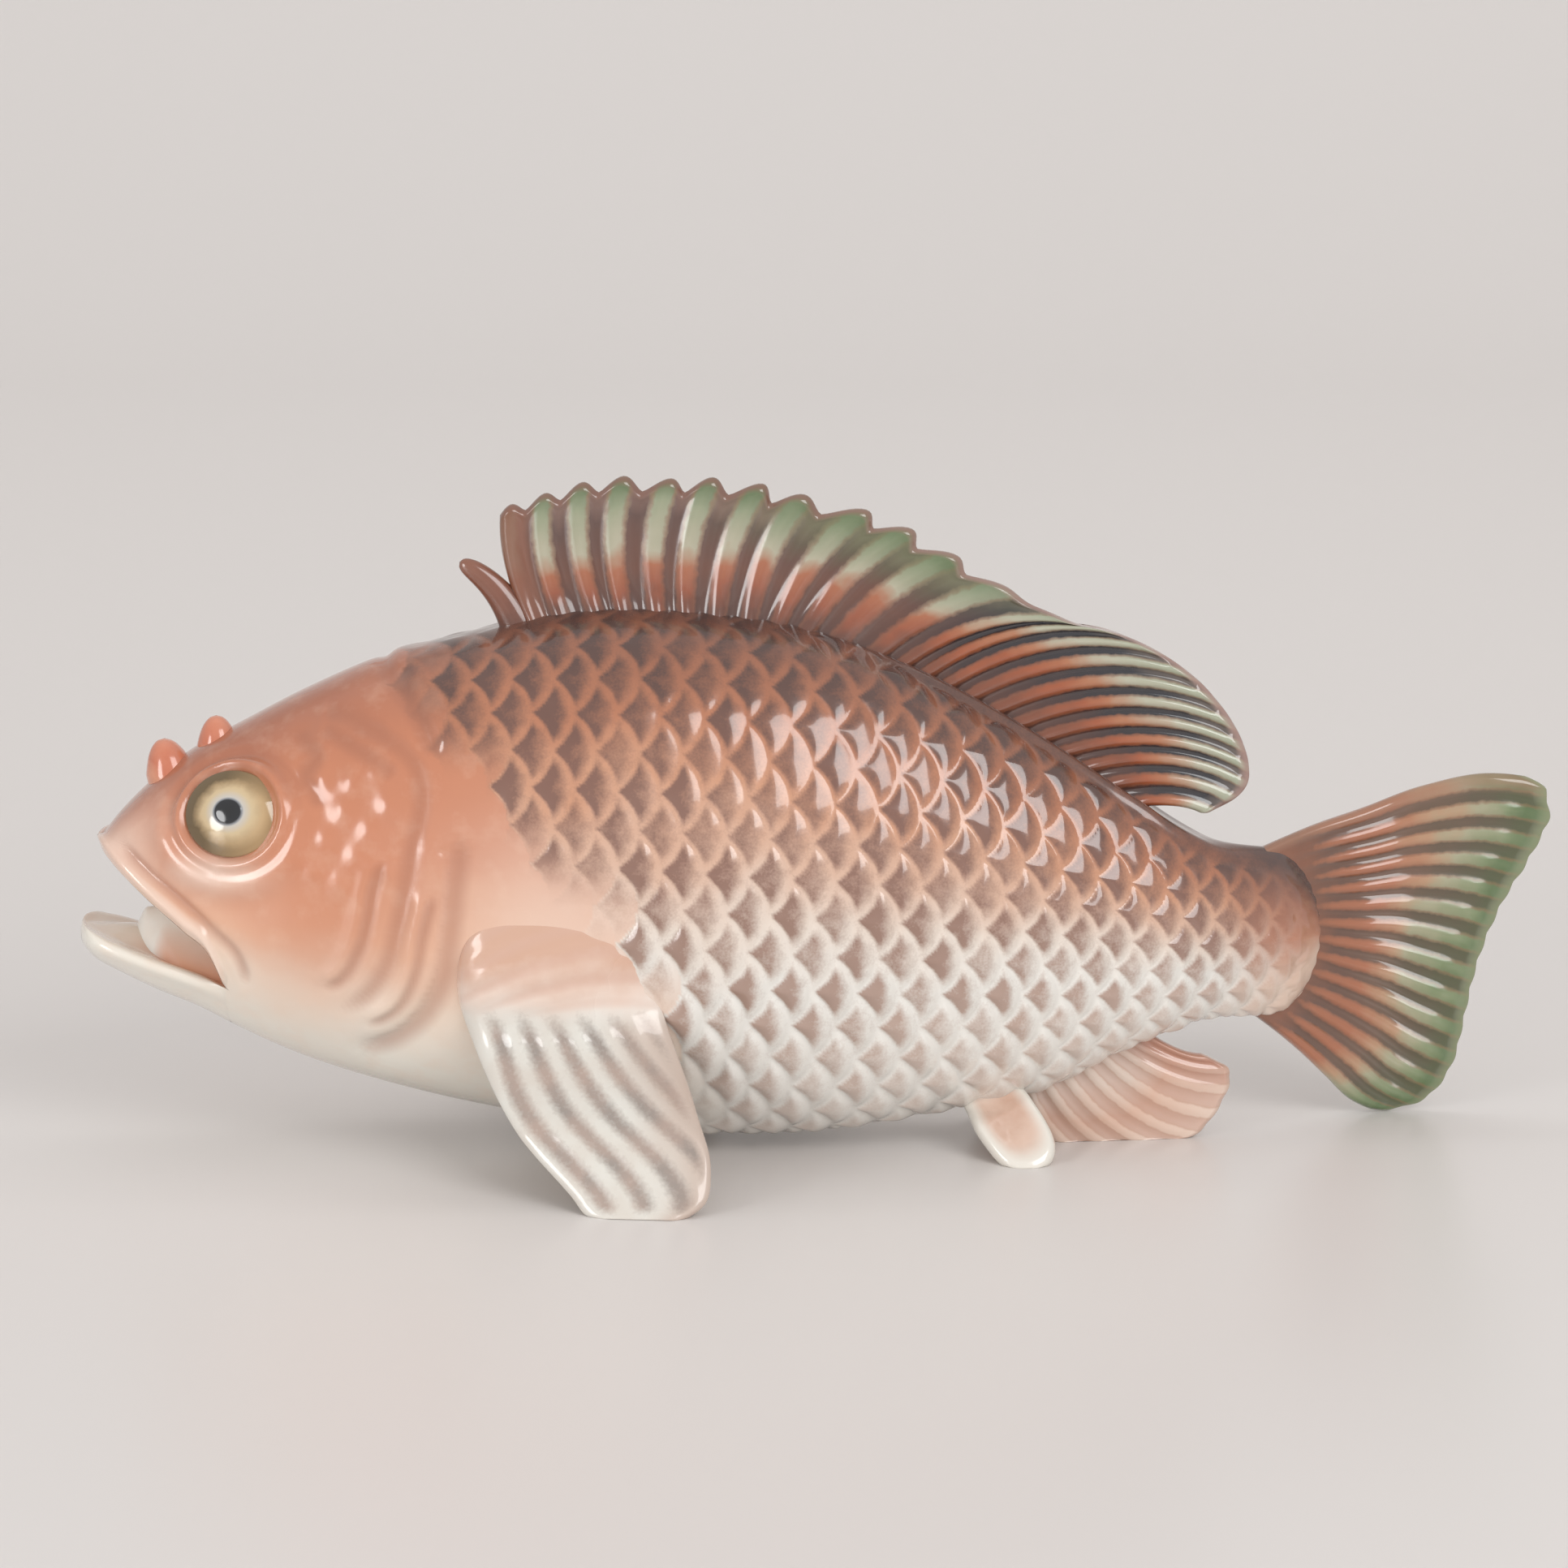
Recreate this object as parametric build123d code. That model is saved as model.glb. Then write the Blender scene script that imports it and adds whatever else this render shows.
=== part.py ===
"""A porcelain fish figurine, built from the castings that are stuck together with slip before firing.

Millimetres. +Z is up, the nose points along -X, and the fish's left side is at -Y.
The origin is on the table, under the middle of the whole figure.
"""

from build123d import *

import os
from collections import namedtuple

# Driving dimensions of the whole figure
WALL = 4.0
TAIL_SWAY = 18.0
SWAY_START_X = 52.0
SWAY_END_X = 98.0
NOSE_X = -117.6
TABLE_Z = 0.0
OUTSIDE = 400.0  # the size of cutting shapes that reach right past the figure

# The trunk and head: cross-sections of the closed-mouth form, each an egg of four quarter ellipses
Station = namedtuple("Station", "x top wide bottom half_width")
BODY_STATIONS = (
    Station(NOSE_X, 50.6, 48.6, 46.6, 3.0),
    Station(-116.4, 52.6, 48.4, 43.4, 6.4),
    Station(-113.6, 56.0, 47.8, 38.6, 9.6),
    Station(-108.6, 60.8, 47.0, 30.6, 12.6),
    Station(-102.0, 65.8, 46.2, 23.4, 15.1),
    Station(-94.0, 70.2, 46.0, 18.8, 17.4),
    Station(-84.0, 75.4, 46.6, 14.4, 20.2),
    Station(-72.0, 80.6, 47.0, 10.5, 22.6),
    Station(-57.0, 84.8, 46.6, 6.8, 24.4),
    Station(-40.0, 88.4, 45.6, 3.8, 25.2),
    Station(-20.0, 88.2, 44.2, 2.0, 24.9),
    Station(0.0, 84.8, 42.6, 2.4, 23.0),
    Station(20.0, 76.2, 40.6, 5.6, 19.2),
    Station(36.0, 67.0, 38.4, 9.0, 15.0),
    Station(50.0, 57.8, 36.0, 16.0, 10.8),
    Station(62.0, 50.4, 34.2, 20.0, 7.8),
    Station(74.0, 47.2, 32.6, 19.2, 5.4),
    Station(81.0, 42.4, 31.8, 21.6, 3.2),
)
CAVITY_STATIONS = slice(6, 15)

# The mouth: the curved upper lip line, from ahead of the nose back to the mouth's corner, and the jaw's rim line
LIP_LINE = ((-124.0, 56.6), (-116.7, 50.4), (-108.1, 43.0), (-102.8, 38.8), (-98.6, 34.6), (-96.4, 28.6))
CORNER_X, CORNER_Z = LIP_LINE[-1]
RIM_SLOPE = 0.36
LIP_RIM = 3.0
ROOF_DEPTH = 3.5
ROOF_STATIONS = slice(1, 7)

# The lower jaw: lower half-ellipses, centre height, half width and depth
JawStation = namedtuple("JawStation", "x centre half_width depth")
JAW_STATIONS = (
    JawStation(-121.6, 37.2, 2.6, 2.4),
    JawStation(-120.6, 37.4, 5.4, 4.4),
    JawStation(-118.4, 37.8, 8.6, 6.6),
    JawStation(-114.4, 38.4, 11.8, 9.6),
    JawStation(-107.6, 40.2, 14.0, 14.8),
    JawStation(-102.0, 43.2, 15.4, 20.2),
)
JAW_LEAST_HALF_WIDTH = 1.0
TONGUE_CENTRE = (-102.0, 0.0, 33.4)
TONGUE_RADII = (11.5, 8.6, 5.6)
TONGUE_TILT = 34.0
TONGUE_RISE = 2.0

# Eyes: domed oval buttons set in matching sockets
EYE_CENTRE = (-94.8, -15.4, 58.2)
EYE_NORMAL = (-0.22, -0.90, 0.36)
EYE_HALF_AXES = (7.8, 7.0)
EYE_BALL_RADIUS = 12.0
EYE_STAND_OUT = 2.1
SOCKET_DEPTH = 3.0
SOCKET_HEIGHT = 7.0

# Raised modelling on the head: the lids round the eyes, the upper lip's band and the gill covers' edges
LID_HALF_AXES = (12.4, 11.4)
LID_DEPTH, LID_HEIGHT, LID_TAPER = 5.0, 5.4, 35.0
LIP_BAND, LIP_RISE = 3.6, 0.7
LIP_STATIONS = slice(0, 8)
GILL_RISE = 0.8
GILL_STATIONS = slice(5, 11)
GILL_FRONT_EDGE = ((-79.0, 24.6), (-71.4, 32.0), (-67.4, 44.0), (-65.2, 56.0), (-66.4, 66.0))
GILL_REAR_EDGE = ((-63.0, 65.0), (-59.6, 56.0), (-60.4, 45.6), (-62.4, 32.0), (-66.4, 25.2), (-77.0, 19.6))

# Two small horns on the midline of the snout: foot, tip and foot radius
FRONT_HORN = ((-105.8, 61.4), (-106.9, 67.3), 4.0)
REAR_HORN = ((-98.2, 66.2), (-98.4, 71.1), 3.3)
HORN_TIP_SHARE = 0.48

# Dorsal fin: spines as (foot x, foot z, tip x, tip z), then soft rays the same way
FIN_WEB = 2.0
SPINE_RADIUS = 1.5
SPINE_BOW = 0.06
DORSAL_SPINES = (
    (-46.4, 87.4, -50.2, 104.2),
    (-41.6, 87.8, -44.8, 106.0),
    (-35.8, 88.0, -38.8, 107.8),
    (-31.4, 88.0, -32.2, 108.8),
    (-26.0, 87.8, -24.8, 108.4),
    (-21.4, 87.4, -18.2, 108.6),
    (-16.4, 86.8, -10.4, 107.6),
    (-11.4, 86.2, -3.8, 105.9),
    (-7.0, 85.2, 5.8, 103.6),
    (-2.6, 84.2, 13.0, 100.6),
    (2.4, 82.6, 20.2, 96.4),
    (8.2, 80.2, 28.2, 91.4),
)
SOFT_RADIUS = 1.3
SOFT_BOW = 0.13
DORSAL_RAYS = (
    (12.4, 78.2, 38.6, 86.1),
    (17.4, 75.6, 48.6, 83.4),
    (22.2, 73.0, 57.6, 78.0),
    (27.8, 69.8, 63.2, 72.2),
    (33.0, 66.6, 66.4, 66.8),
    (38.4, 63.4, 67.6, 62.0),
    (44.0, 60.0, 66.2, 58.0),
    (49.6, 56.4, 60.4, 55.0),
)
FIN_ROOT_DEPTH = 6.0
SCALLOP_DEPTH = 0.9

# The first dorsal spine stands free of the fin's membrane
FREE_SPINE_FOOT = (-49.0, 84.6)
FREE_SPINE_BEND = (-51.8, 92.6)
FREE_SPINE_TIP = (-58.8, 96.2)
FREE_SPINE_RADII = (2.9, 1.2)
FREE_SPINE_STEPS = 4

# Tail fin: outline in side view, with rays from a root line to the hollow trailing edge
TAIL_WEB = 2.2
TAIL_RIDGE = 3.6
TAIL_RAY_WIDTHS = (1.3, 2.1)
TAIL_RAY_COUNT = 13
TAIL_TOP = ((70.0, 45.6), (84.0, 49.8), (98.0, 54.2), (112.0, 56.2))
TAIL_TRAILING = ((121.0, 52.6), (115.8, 40.3), (110.2, 29.0), (107.6, 18.0), (105.2, 7.0))
TAIL_BOTTOM = ((96.0, -0.8), (81.6, 9.6), (70.0, 18.4))
TAIL_ROOT_TOP = (76.0, 44.6)
TAIL_ROOT_BOTTOM = (74.0, 19.4)
BAND_STEPS = 7
BAND_MARGIN = 2.0

# Anal fin: a ribbed plate that stands on the table
ANAL_WEB = 2.0
ANAL_RAY_RADIUS = 1.35
ANAL_YAW = 6.0
ANAL_PIVOT_X = 45.0
ANAL_ROOT_DEPTH = 3.0
ANAL_RAYS = (
    (34.0, 9.4, 41.0, -1.0),
    (37.0, 10.4, 48.0, -1.0),
    (40.4, 11.6, 55.0, -0.8),
    (43.8, 12.8, 61.0, 0.8),
    (47.0, 14.2, 64.6, 5.0),
    (49.8, 15.6, 66.2, 9.2),
    (52.0, 17.0, 65.8, 12.8),
)
ANAL_BOW = -0.12

# Pectoral fins: a plate that leans outwards from the flank to a flat foot, drawn in its own plane
PECTORAL_WEB = 2.2
PECTORAL_RAY_RADIUS = 1.5
PECTORAL_HINGE = (-40.0, -24.0, 30.0)
PECTORAL_LEAN = 34.0
PECTORAL_YAW = 5.0
PECTORAL_TOP = 8.0
PECTORAL_LEADING_EDGE = ((-18.2, 2.0), (-15.2, -11.0), (-7.6, -23.4), (1.6, -33.0), (5.0, -37.6))
PECTORAL_TRAILING_EDGE = ((19.8, -37.6), (23.4, -30.0), (20.8, -20.0), (16.0, -10.0), (9.0, 1.0))
PECTORAL_RAYS = (
    (-15.6, -4.6, 6.0, -35.4),
    (-11.4, -5.4, 11.2, -35.8),
    (-7.0, -5.4, 15.4, -35.2),
    (-2.6, -4.8, 18.8, -33.2),
    (1.6, -4.0, 20.8, -29.6),
    (5.4, -3.2, 20.6, -24.4),
    (8.6, -2.4, 18.2, -17.4),
)
PECTORAL_BOW = -0.085
LOBE_CENTRE = (-44.5, -22.0, 35.2)
LOBE_RADII = (15.6, 6.4, 10.0)
LOBE_TILT = -6.0

# Pelvic fins: small rounded paddles under the belly
PELVIC_HINGE = (27.0, -7.2, 9.2)
PELVIC_LEAN = 44.0
PELVIC_ROOT = 6.0
PELVIC_LENGTH = 22.0
PELVIC_WIDTH = 11.0
PELVIC_THICKNESS = 3.2
PELVIC_RAKE = 30.0

# The firing vent under the belly
VENT_X = -6.0
VENT_RADIUS = 2.5
VENT_LENGTH = 30.0


def sway(x):
    """How far the midline swings to +Y at a station: a smooth step towards the tail."""
    share = min(1.0, max(0.0, (x - SWAY_START_X) / (SWAY_END_X - SWAY_START_X)))
    return TAIL_SWAY * share * share * (3.0 - 2.0 * share)


def egg(x, top, wide, bottom, half_width):
    """A closed section across the fish: four quarter ellipses that share their widest level."""
    plane = Plane(origin=(x, sway(x), wide), x_dir=(0, 1, 0), z_dir=(1, 0, 0))
    upper, lower = top - wide, wide - bottom
    quarters = [
        EllipticalCenterArc((0, 0), half_width, upper, 0, arc_size=90),
        EllipticalCenterArc((0, 0), half_width, upper, 90, arc_size=90),
        EllipticalCenterArc((0, 0), half_width, lower, 180, arc_size=90),
        EllipticalCenterArc((0, 0), half_width, lower, 270, arc_size=90),
    ]
    return plane * make_face(quarters)


def body_loft(stations, inset=0.0):
    """The fish's form through some stations, drawn in by inset on all sides."""
    return loft(
        [
            egg(s.x, s.top - inset, s.wide, s.bottom + inset, s.half_width - inset)
            for s in stations
        ]
    )


def in_side_plane(x, z):
    return (x, 0.0, z)


def through(edges):
    """A closed outline in side view, carried right through the fish along Y."""
    return extrude(make_face(edges), amount=OUTSIDE / 2, dir=(0, 1, 0), both=True)


def side_prism(points):
    """A straight-sided outline in side view, (x, z) pairs, carried right through the fish along Y."""
    return through(Polyline(*[in_side_plane(x, z) for x, z in points], close=True))


def rim_z(x):
    return CORNER_Z + (CORNER_X - x) * RIM_SLOPE


def under_lip(rise=0.0):
    """Everything in front of the mouth's corner and below the curved upper lip, raised by rise."""
    line = [in_side_plane(x, z + rise) for x, z in LIP_LINE]
    below_corner, below_front = [in_side_plane(x, -OUTSIDE) for x in (CORNER_X, LIP_LINE[0][0])]
    return through(
        [
            Spline(*line),
            Line(line[-1], below_corner),
            Line(below_corner, below_front),
            Line(below_front, line[0]),
        ]
    )


def above_table(shape):
    """Cuts a fin flat where it stands on the table."""
    below = Pos(0, 0, TABLE_Z - OUTSIDE / 2) * Box(OUTSIDE, OUTSIDE, OUTSIDE)
    return shape - below


def ellipsoid(centre, radii, tilt=0.0):
    """A ball stretched along X, Y and Z and tipped about Y."""
    return Pos(*centre) * Rot(0, tilt, 0) * scale(Sphere(1.0), by=radii)


def bowed_arc(foot, tip, bow):
    """An arc in 3-D from foot to tip that bows sideways, in side view, by a share of its length."""
    foot, tip = Vector(*foot), Vector(*tip)
    along = tip - foot
    aside = Vector(-along.Z, 0, along.X)
    return ThreePointArc(foot, (foot + tip) * 0.5 + aside * bow, tip)


def rib(path, radius):
    """A round rib of one thickness along an arc, with a ball at its tip."""
    start = Plane(origin=path @ 0, z_dir=path % 0)
    return sweep(start * Circle(radius), path=path) + Pos(*(path @ 1)) * Sphere(radius)


def ribbed_plate(web, ribs):
    """A fin: a web of even thickness with its ribs fused on."""
    return web.fuse(*ribs)


# The castings


def eye_seat():
    """The plane of the left eye, its X level."""
    normal = Vector(*EYE_NORMAL)
    return Plane(origin=EYE_CENTRE, x_dir=Vector(0, 0, 1).cross(normal), z_dir=normal)


def make_lid():
    """The left eyelid: a low oval cone that stands out of the head round the eye."""
    return extrude(eye_seat().offset(-LID_DEPTH) * Ellipse(*LID_HALF_AXES), amount=LID_HEIGHT, taper=LID_TAPER)


def make_gill_covers():
    """The curved edges of both gill covers: a band of the body's form, swollen outwards."""
    front = [in_side_plane(*p) for p in GILL_FRONT_EDGE]
    rear = [in_side_plane(*p) for p in GILL_REAR_EDGE]
    band = through([Spline(*front), Line(front[-1], rear[0]), Spline(*rear), Line(rear[-1], front[0])])
    return body_loft(BODY_STATIONS[GILL_STATIONS], inset=-GILL_RISE) & band


def make_upper_lip():
    """The thickened band along the upper lip, still with the mouth's space below it."""
    return body_loft(BODY_STATIONS[LIP_STATIONS], inset=-LIP_RISE) & under_lip(rise=LIP_BAND)


def make_body_solid():
    """The whole head and trunk as one solid, without cavity or sockets but with its mouth cut."""
    lid = make_lid()
    relief = [make_gill_covers(), make_upper_lip(), lid, mirror(lid, Plane.XZ)]
    closed = body_loft(BODY_STATIONS).fuse(*relief)
    roof = body_loft(BODY_STATIONS[ROOF_STATIONS], inset=LIP_RIM) & under_lip(rise=ROOF_DEPTH)
    return closed - under_lip() - roof


def make_eye():
    """The left eye, a domed oval button, and the oval plug that cuts its socket."""
    seat = eye_seat()
    plug = extrude(seat.offset(-SOCKET_DEPTH) * Ellipse(*EYE_HALF_AXES), amount=SOCKET_HEIGHT)
    ball = seat * Pos(0, 0, EYE_STAND_OUT - EYE_BALL_RADIUS) * Sphere(EYE_BALL_RADIUS)
    return plug & ball, plug


def corner_station():
    """The body's section at the mouth's corner, between its two neighbouring stations."""
    after = next(i for i, s in enumerate(BODY_STATIONS) if s.x > CORNER_X)
    before, behind = BODY_STATIONS[after - 1], BODY_STATIONS[after]
    share = (CORNER_X - before.x) / (behind.x - before.x)
    return Station(*[a + (b - a) * share for a, b in zip(before, behind)])


def jaw_section(x, centre, half_width, depth):
    """A lower half-ellipse across the jaw."""
    plane = Plane(origin=(x, 0, centre), x_dir=(0, 1, 0), z_dir=(1, 0, 0))
    curve = [
        EllipticalCenterArc((0, 0), half_width, depth, 180, arc_size=90),
        EllipticalCenterArc((0, 0), half_width, depth, 270, arc_size=90),
        Line((half_width, 0), (-half_width, 0)),
    ]
    return plane * make_face(curve)


def jaw_form(inset):
    """The jaw's full depth from its tip to the mouth's corner, drawn in by inset on all sides."""
    corner = corner_station()
    stations = JAW_STATIONS + (
        JawStation(corner.x, corner.wide, corner.half_width, corner.wide - corner.bottom),
    )
    wide_enough = [s for s in stations if s.half_width > inset + JAW_LEAST_HALF_WIDTH]
    return loft([jaw_section(s.x, s.centre, s.half_width - inset, s.depth - inset) for s in wide_enough])


def make_lower_jaw(body):
    """A spoon with a rim: the jaw's form, cut by the rim plane and hollowed from above."""
    front, back = LIP_LINE[0][0], BODY_STATIONS[-1].x
    above_rim = side_prism([(back, rim_z(back)), (front, rim_z(front)), (front, OUTSIDE), (back, OUTSIDE)])
    return jaw_form(0.0) - above_rim - jaw_form(LIP_RIM) - body


def make_tongue(lower_jaw):
    """A tipped egg that lies on the jaw's floor and against the back wall of the mouth."""
    egg_form = ellipsoid(TONGUE_CENTRE, TONGUE_RADII, TONGUE_TILT)
    return (egg_form & under_lip(rise=TONGUE_RISE)) - lower_jaw


def make_horn(horn):
    """A blunt horn: a ball-ended cone from its foot to its tip, in the plane of symmetry."""
    (foot_x, foot_z), (tip_x, tip_z), radius = horn
    foot, tip = Vector(foot_x, 0, foot_z), Vector(tip_x, 0, tip_z)
    along = (tip - foot).normalized()
    tip_radius = radius * HORN_TIP_SHARE
    cone_top = tip - along * tip_radius
    cone = loft(
        [
            Plane(origin=foot, z_dir=along) * Circle(radius),
            Plane(origin=cone_top, z_dir=along) * Circle(tip_radius),
        ]
    )
    return cone + Pos(*cone_top) * Sphere(tip_radius)


def make_dorsal_fin():
    """The long back fin: spines with scalloped skin between their tips, then the soft lobe."""
    tips = [(tip_x, tip_z) for _, _, tip_x, tip_z in DORSAL_SPINES]
    feet = [(x, z - FIN_ROOT_DEPTH) for x, z, _, _ in DORSAL_SPINES + DORSAL_RAYS]
    soft_ends = [(tip_x, tip_z) for _, _, tip_x, tip_z in DORSAL_RAYS]
    edges = []
    for (x0, z0), (x1, z1) in zip(tips, tips[1:]):
        middle = ((x0 + x1) / 2, (z0 + z1) / 2 - SCALLOP_DEPTH)
        edges.append(
            ThreePointArc(in_side_plane(x0, z0), in_side_plane(*middle), in_side_plane(x1, z1))
        )
    edges.append(Spline(*[in_side_plane(*p) for p in [tips[-1]] + soft_ends]))
    edges.append(Line(in_side_plane(*soft_ends[-1]), in_side_plane(*feet[-1])))
    edges.append(Spline(*[in_side_plane(*p) for p in reversed(feet)]))
    edges.append(Line(in_side_plane(*feet[0]), in_side_plane(*tips[0])))
    web = extrude(make_face(edges), amount=FIN_WEB / 2, dir=(0, 1, 0), both=True)
    ribs = []
    for rays, radius, bow in (
        (DORSAL_SPINES, SPINE_RADIUS, SPINE_BOW),
        (DORSAL_RAYS, SOFT_RADIUS, SOFT_BOW),
    ):
        for foot_x, foot_z, tip_x, tip_z in rays:
            along = Vector(tip_x - foot_x, 0, tip_z - foot_z)
            lean = along.X / along.length
            foot = in_side_plane(foot_x - lean, foot_z - FIN_ROOT_DEPTH / 2)
            ribs.append(rib(bowed_arc(foot, in_side_plane(tip_x, tip_z), bow * lean), radius))
    return ribbed_plate(web, ribs)


def make_free_spine():
    """The forward-leaning first spine: a tapering horn on a bent centre line."""
    path = ThreePointArc(
        in_side_plane(*FREE_SPINE_FOOT), in_side_plane(*FREE_SPINE_BEND), in_side_plane(*FREE_SPINE_TIP)
    )
    big, small = FREE_SPINE_RADII
    sections = []
    for i in range(FREE_SPINE_STEPS + 1):
        share = i / FREE_SPINE_STEPS
        radius = big + (small - big) * share
        sections.append(Plane(origin=path @ share, z_dir=path % share) * Circle(radius))
    return loft(sections) + Pos(*(path @ 1)) * Sphere(small)


def sway_band(thickness, x_start, x_end):
    """A curved wall that follows the tail's swing in plan, for cutting fins to their thickness."""
    xs = [x_start + (x_end - x_start) * i / (BAND_STEPS - 1) for i in range(BAND_STEPS)]
    near = [(x, sway(x) - thickness / 2, -OUTSIDE / 2) for x in xs]
    far = [(x, sway(x) + thickness / 2, -OUTSIDE / 2) for x in xs]
    edges = [
        Spline(*near),
        Line(near[-1], far[-1]),
        Spline(*reversed(far)),
        Line(far[0], near[0]),
    ]
    return extrude(make_face(edges), amount=OUTSIDE, dir=(0, 0, 1))


def make_tail_fin():
    """A fan that follows the swing of the tail, with rays from its root to the trailing edge."""
    trailing = Spline(*[in_side_plane(*p) for p in TAIL_TRAILING])
    root = Line(in_side_plane(*TAIL_ROOT_TOP), in_side_plane(*TAIL_ROOT_BOTTOM))
    slab = through(
        [
            Spline(*[in_side_plane(*p) for p in TAIL_TOP + TAIL_TRAILING[:1]]),
            trailing,
            Spline(*[in_side_plane(*p) for p in TAIL_TRAILING[-1:] + TAIL_BOTTOM]),
            Line(in_side_plane(*TAIL_BOTTOM[-1]), in_side_plane(*TAIL_TOP[0])),
        ]
    )
    x_start, x_end = TAIL_TOP[0][0] - BAND_MARGIN, TAIL_TRAILING[0][0] + BAND_MARGIN
    web = slab & sway_band(TAIL_WEB, x_start, x_end)
    ridge_band = sway_band(TAIL_RIDGE, x_start, x_end)
    rays = []
    for i in range(TAIL_RAY_COUNT):
        share = (i + 0.5) / TAIL_RAY_COUNT
        foot, tip = root @ share, trailing @ share
        along = (tip - foot).normalized()
        across = Vector(-along.Z, 0, along.X)
        foot_half, tip_half = [across * (width / 2) for width in TAIL_RAY_WIDTHS]
        corners = [foot + foot_half, tip + tip_half, tip - tip_half, foot - foot_half]
        rays.append(side_prism([(corner.X, corner.Z) for corner in corners]) & ridge_band)
    return above_table(ribbed_plate(web, rays))


def make_anal_fin():
    """A short ribbed fan behind the vent; its lower edge stands on the table."""
    feet = [(x, z + ANAL_ROOT_DEPTH) for x, z, _, _ in ANAL_RAYS]
    ends = [(x, z) for _, _, x, z in ANAL_RAYS]
    edges = [
        Line(in_side_plane(*feet[0]), in_side_plane(*ends[0])),
        Spline(*[in_side_plane(*p) for p in ends]),
        Line(in_side_plane(*ends[-1]), in_side_plane(*feet[-1])),
        Spline(*[in_side_plane(*p) for p in reversed(feet)]),
    ]
    web = extrude(make_face(edges), amount=ANAL_WEB / 2, dir=(0, 1, 0), both=True)
    ribs = []
    for foot_x, foot_z, tip_x, tip_z in ANAL_RAYS:
        path = bowed_arc(in_side_plane(foot_x, foot_z), in_side_plane(tip_x, tip_z), ANAL_BOW)
        ribs.append(rib(path, ANAL_RAY_RADIUS))
    fin = ribbed_plate(web, ribs)
    turn = Pos(ANAL_PIVOT_X, 0, 0) * Rot(0, 0, ANAL_YAW) * Pos(-ANAL_PIVOT_X, 0, 0)
    return above_table(turn * fin)


def make_pectoral_fin():
    """The left breast fin: a fleshy lobe on the flank and a ribbed plate down to a flat foot."""
    leading, trailing = PECTORAL_LEADING_EDGE, PECTORAL_TRAILING_EDGE
    front_top, back_top = (leading[0][0], PECTORAL_TOP), (trailing[-1][0], PECTORAL_TOP)
    edges = [
        Line(front_top, leading[0]),
        Spline(*leading),
        Line(leading[-1], trailing[0]),
        Spline(*trailing),
        Line(trailing[-1], back_top),
        Line(back_top, front_top),
    ]
    web = extrude(make_face(edges), amount=PECTORAL_WEB / 2, dir=(0, 0, 1), both=True)
    ribs = []
    for foot_u, foot_v, tip_u, tip_v in PECTORAL_RAYS:
        foot, tip = Vector(foot_u, foot_v, 0), Vector(tip_u, tip_v, 0)
        along = tip - foot
        middle = (foot + tip) * 0.5 + Vector(-along.Y, along.X, 0) * PECTORAL_BOW
        ribs.append(rib(ThreePointArc(foot, middle, tip), PECTORAL_RAY_RADIUS))
    plate = ribbed_plate(web, ribs)
    lean = Pos(*PECTORAL_HINGE) * Rot(0, 0, -PECTORAL_YAW) * Rot(90 - PECTORAL_LEAN, 0, 0)
    lobe = ellipsoid(LOBE_CENTRE, LOBE_RADII, LOBE_TILT)
    return above_table(lean * plate + lobe)


def make_pelvic_fin():
    """The left belly fin: a rounded paddle that leans outwards and back to the table."""
    outline = SlotOverall(PELVIC_LENGTH, PELVIC_WIDTH)
    paddle = extrude(outline, amount=PELVIC_THICKNESS / 2, both=True)
    laid = Rot(0, 0, -90 + PELVIC_RAKE) * Pos(PELVIC_LENGTH / 2 - PELVIC_ROOT, 0, 0) * paddle
    lean = Pos(*PELVIC_HINGE) * Rot(90 - PELVIC_LEAN, 0, 0)
    return above_table(lean * laid)


def main():
    os.makedirs("parts", exist_ok=True)
    body = make_body_solid()
    cavity = body_loft(BODY_STATIONS[CAVITY_STATIONS], inset=WALL)
    vent = Pos(VENT_X, 0, 0) * Cylinder(VENT_RADIUS, VENT_LENGTH)
    left_eye, left_socket = make_eye()
    right_eye, right_socket = mirror(left_eye, Plane.XZ), mirror(left_socket, Plane.XZ)
    lower_jaw = make_lower_jaw(body)
    tongue = make_tongue(lower_jaw)
    dorsal_fin = make_dorsal_fin() - body
    pectoral, pelvic = make_pectoral_fin(), make_pelvic_fin()
    tail_fin = make_tail_fin() - body
    parts = {
        "body_shell": body - cavity - vent - left_socket - right_socket,
        "lower_jaw": lower_jaw,
        "tongue": tongue,
        "eye_left": left_eye,
        "eye_right": right_eye,
        "snout_horn_front": make_horn(FRONT_HORN) - body,
        "snout_horn_rear": make_horn(REAR_HORN) - body,
        "dorsal_fin": dorsal_fin,
        "first_dorsal_spine": make_free_spine() - body - dorsal_fin,
        "tail_fin": tail_fin,
        "anal_fin": make_anal_fin() - body,
        "pectoral_fin_left": pectoral - body,
        "pectoral_fin_right": mirror(pectoral, Plane.XZ) - body,
        "pelvic_fin_left": pelvic - body,
        "pelvic_fin_right": mirror(pelvic, Plane.XZ) - body,
    }
    for name, shape in parts.items():
        export_step(shape, f"parts/{name}.step")


main()
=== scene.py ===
"""A glazed porcelain fish with raised scales and ribbed fins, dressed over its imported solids."""

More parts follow.
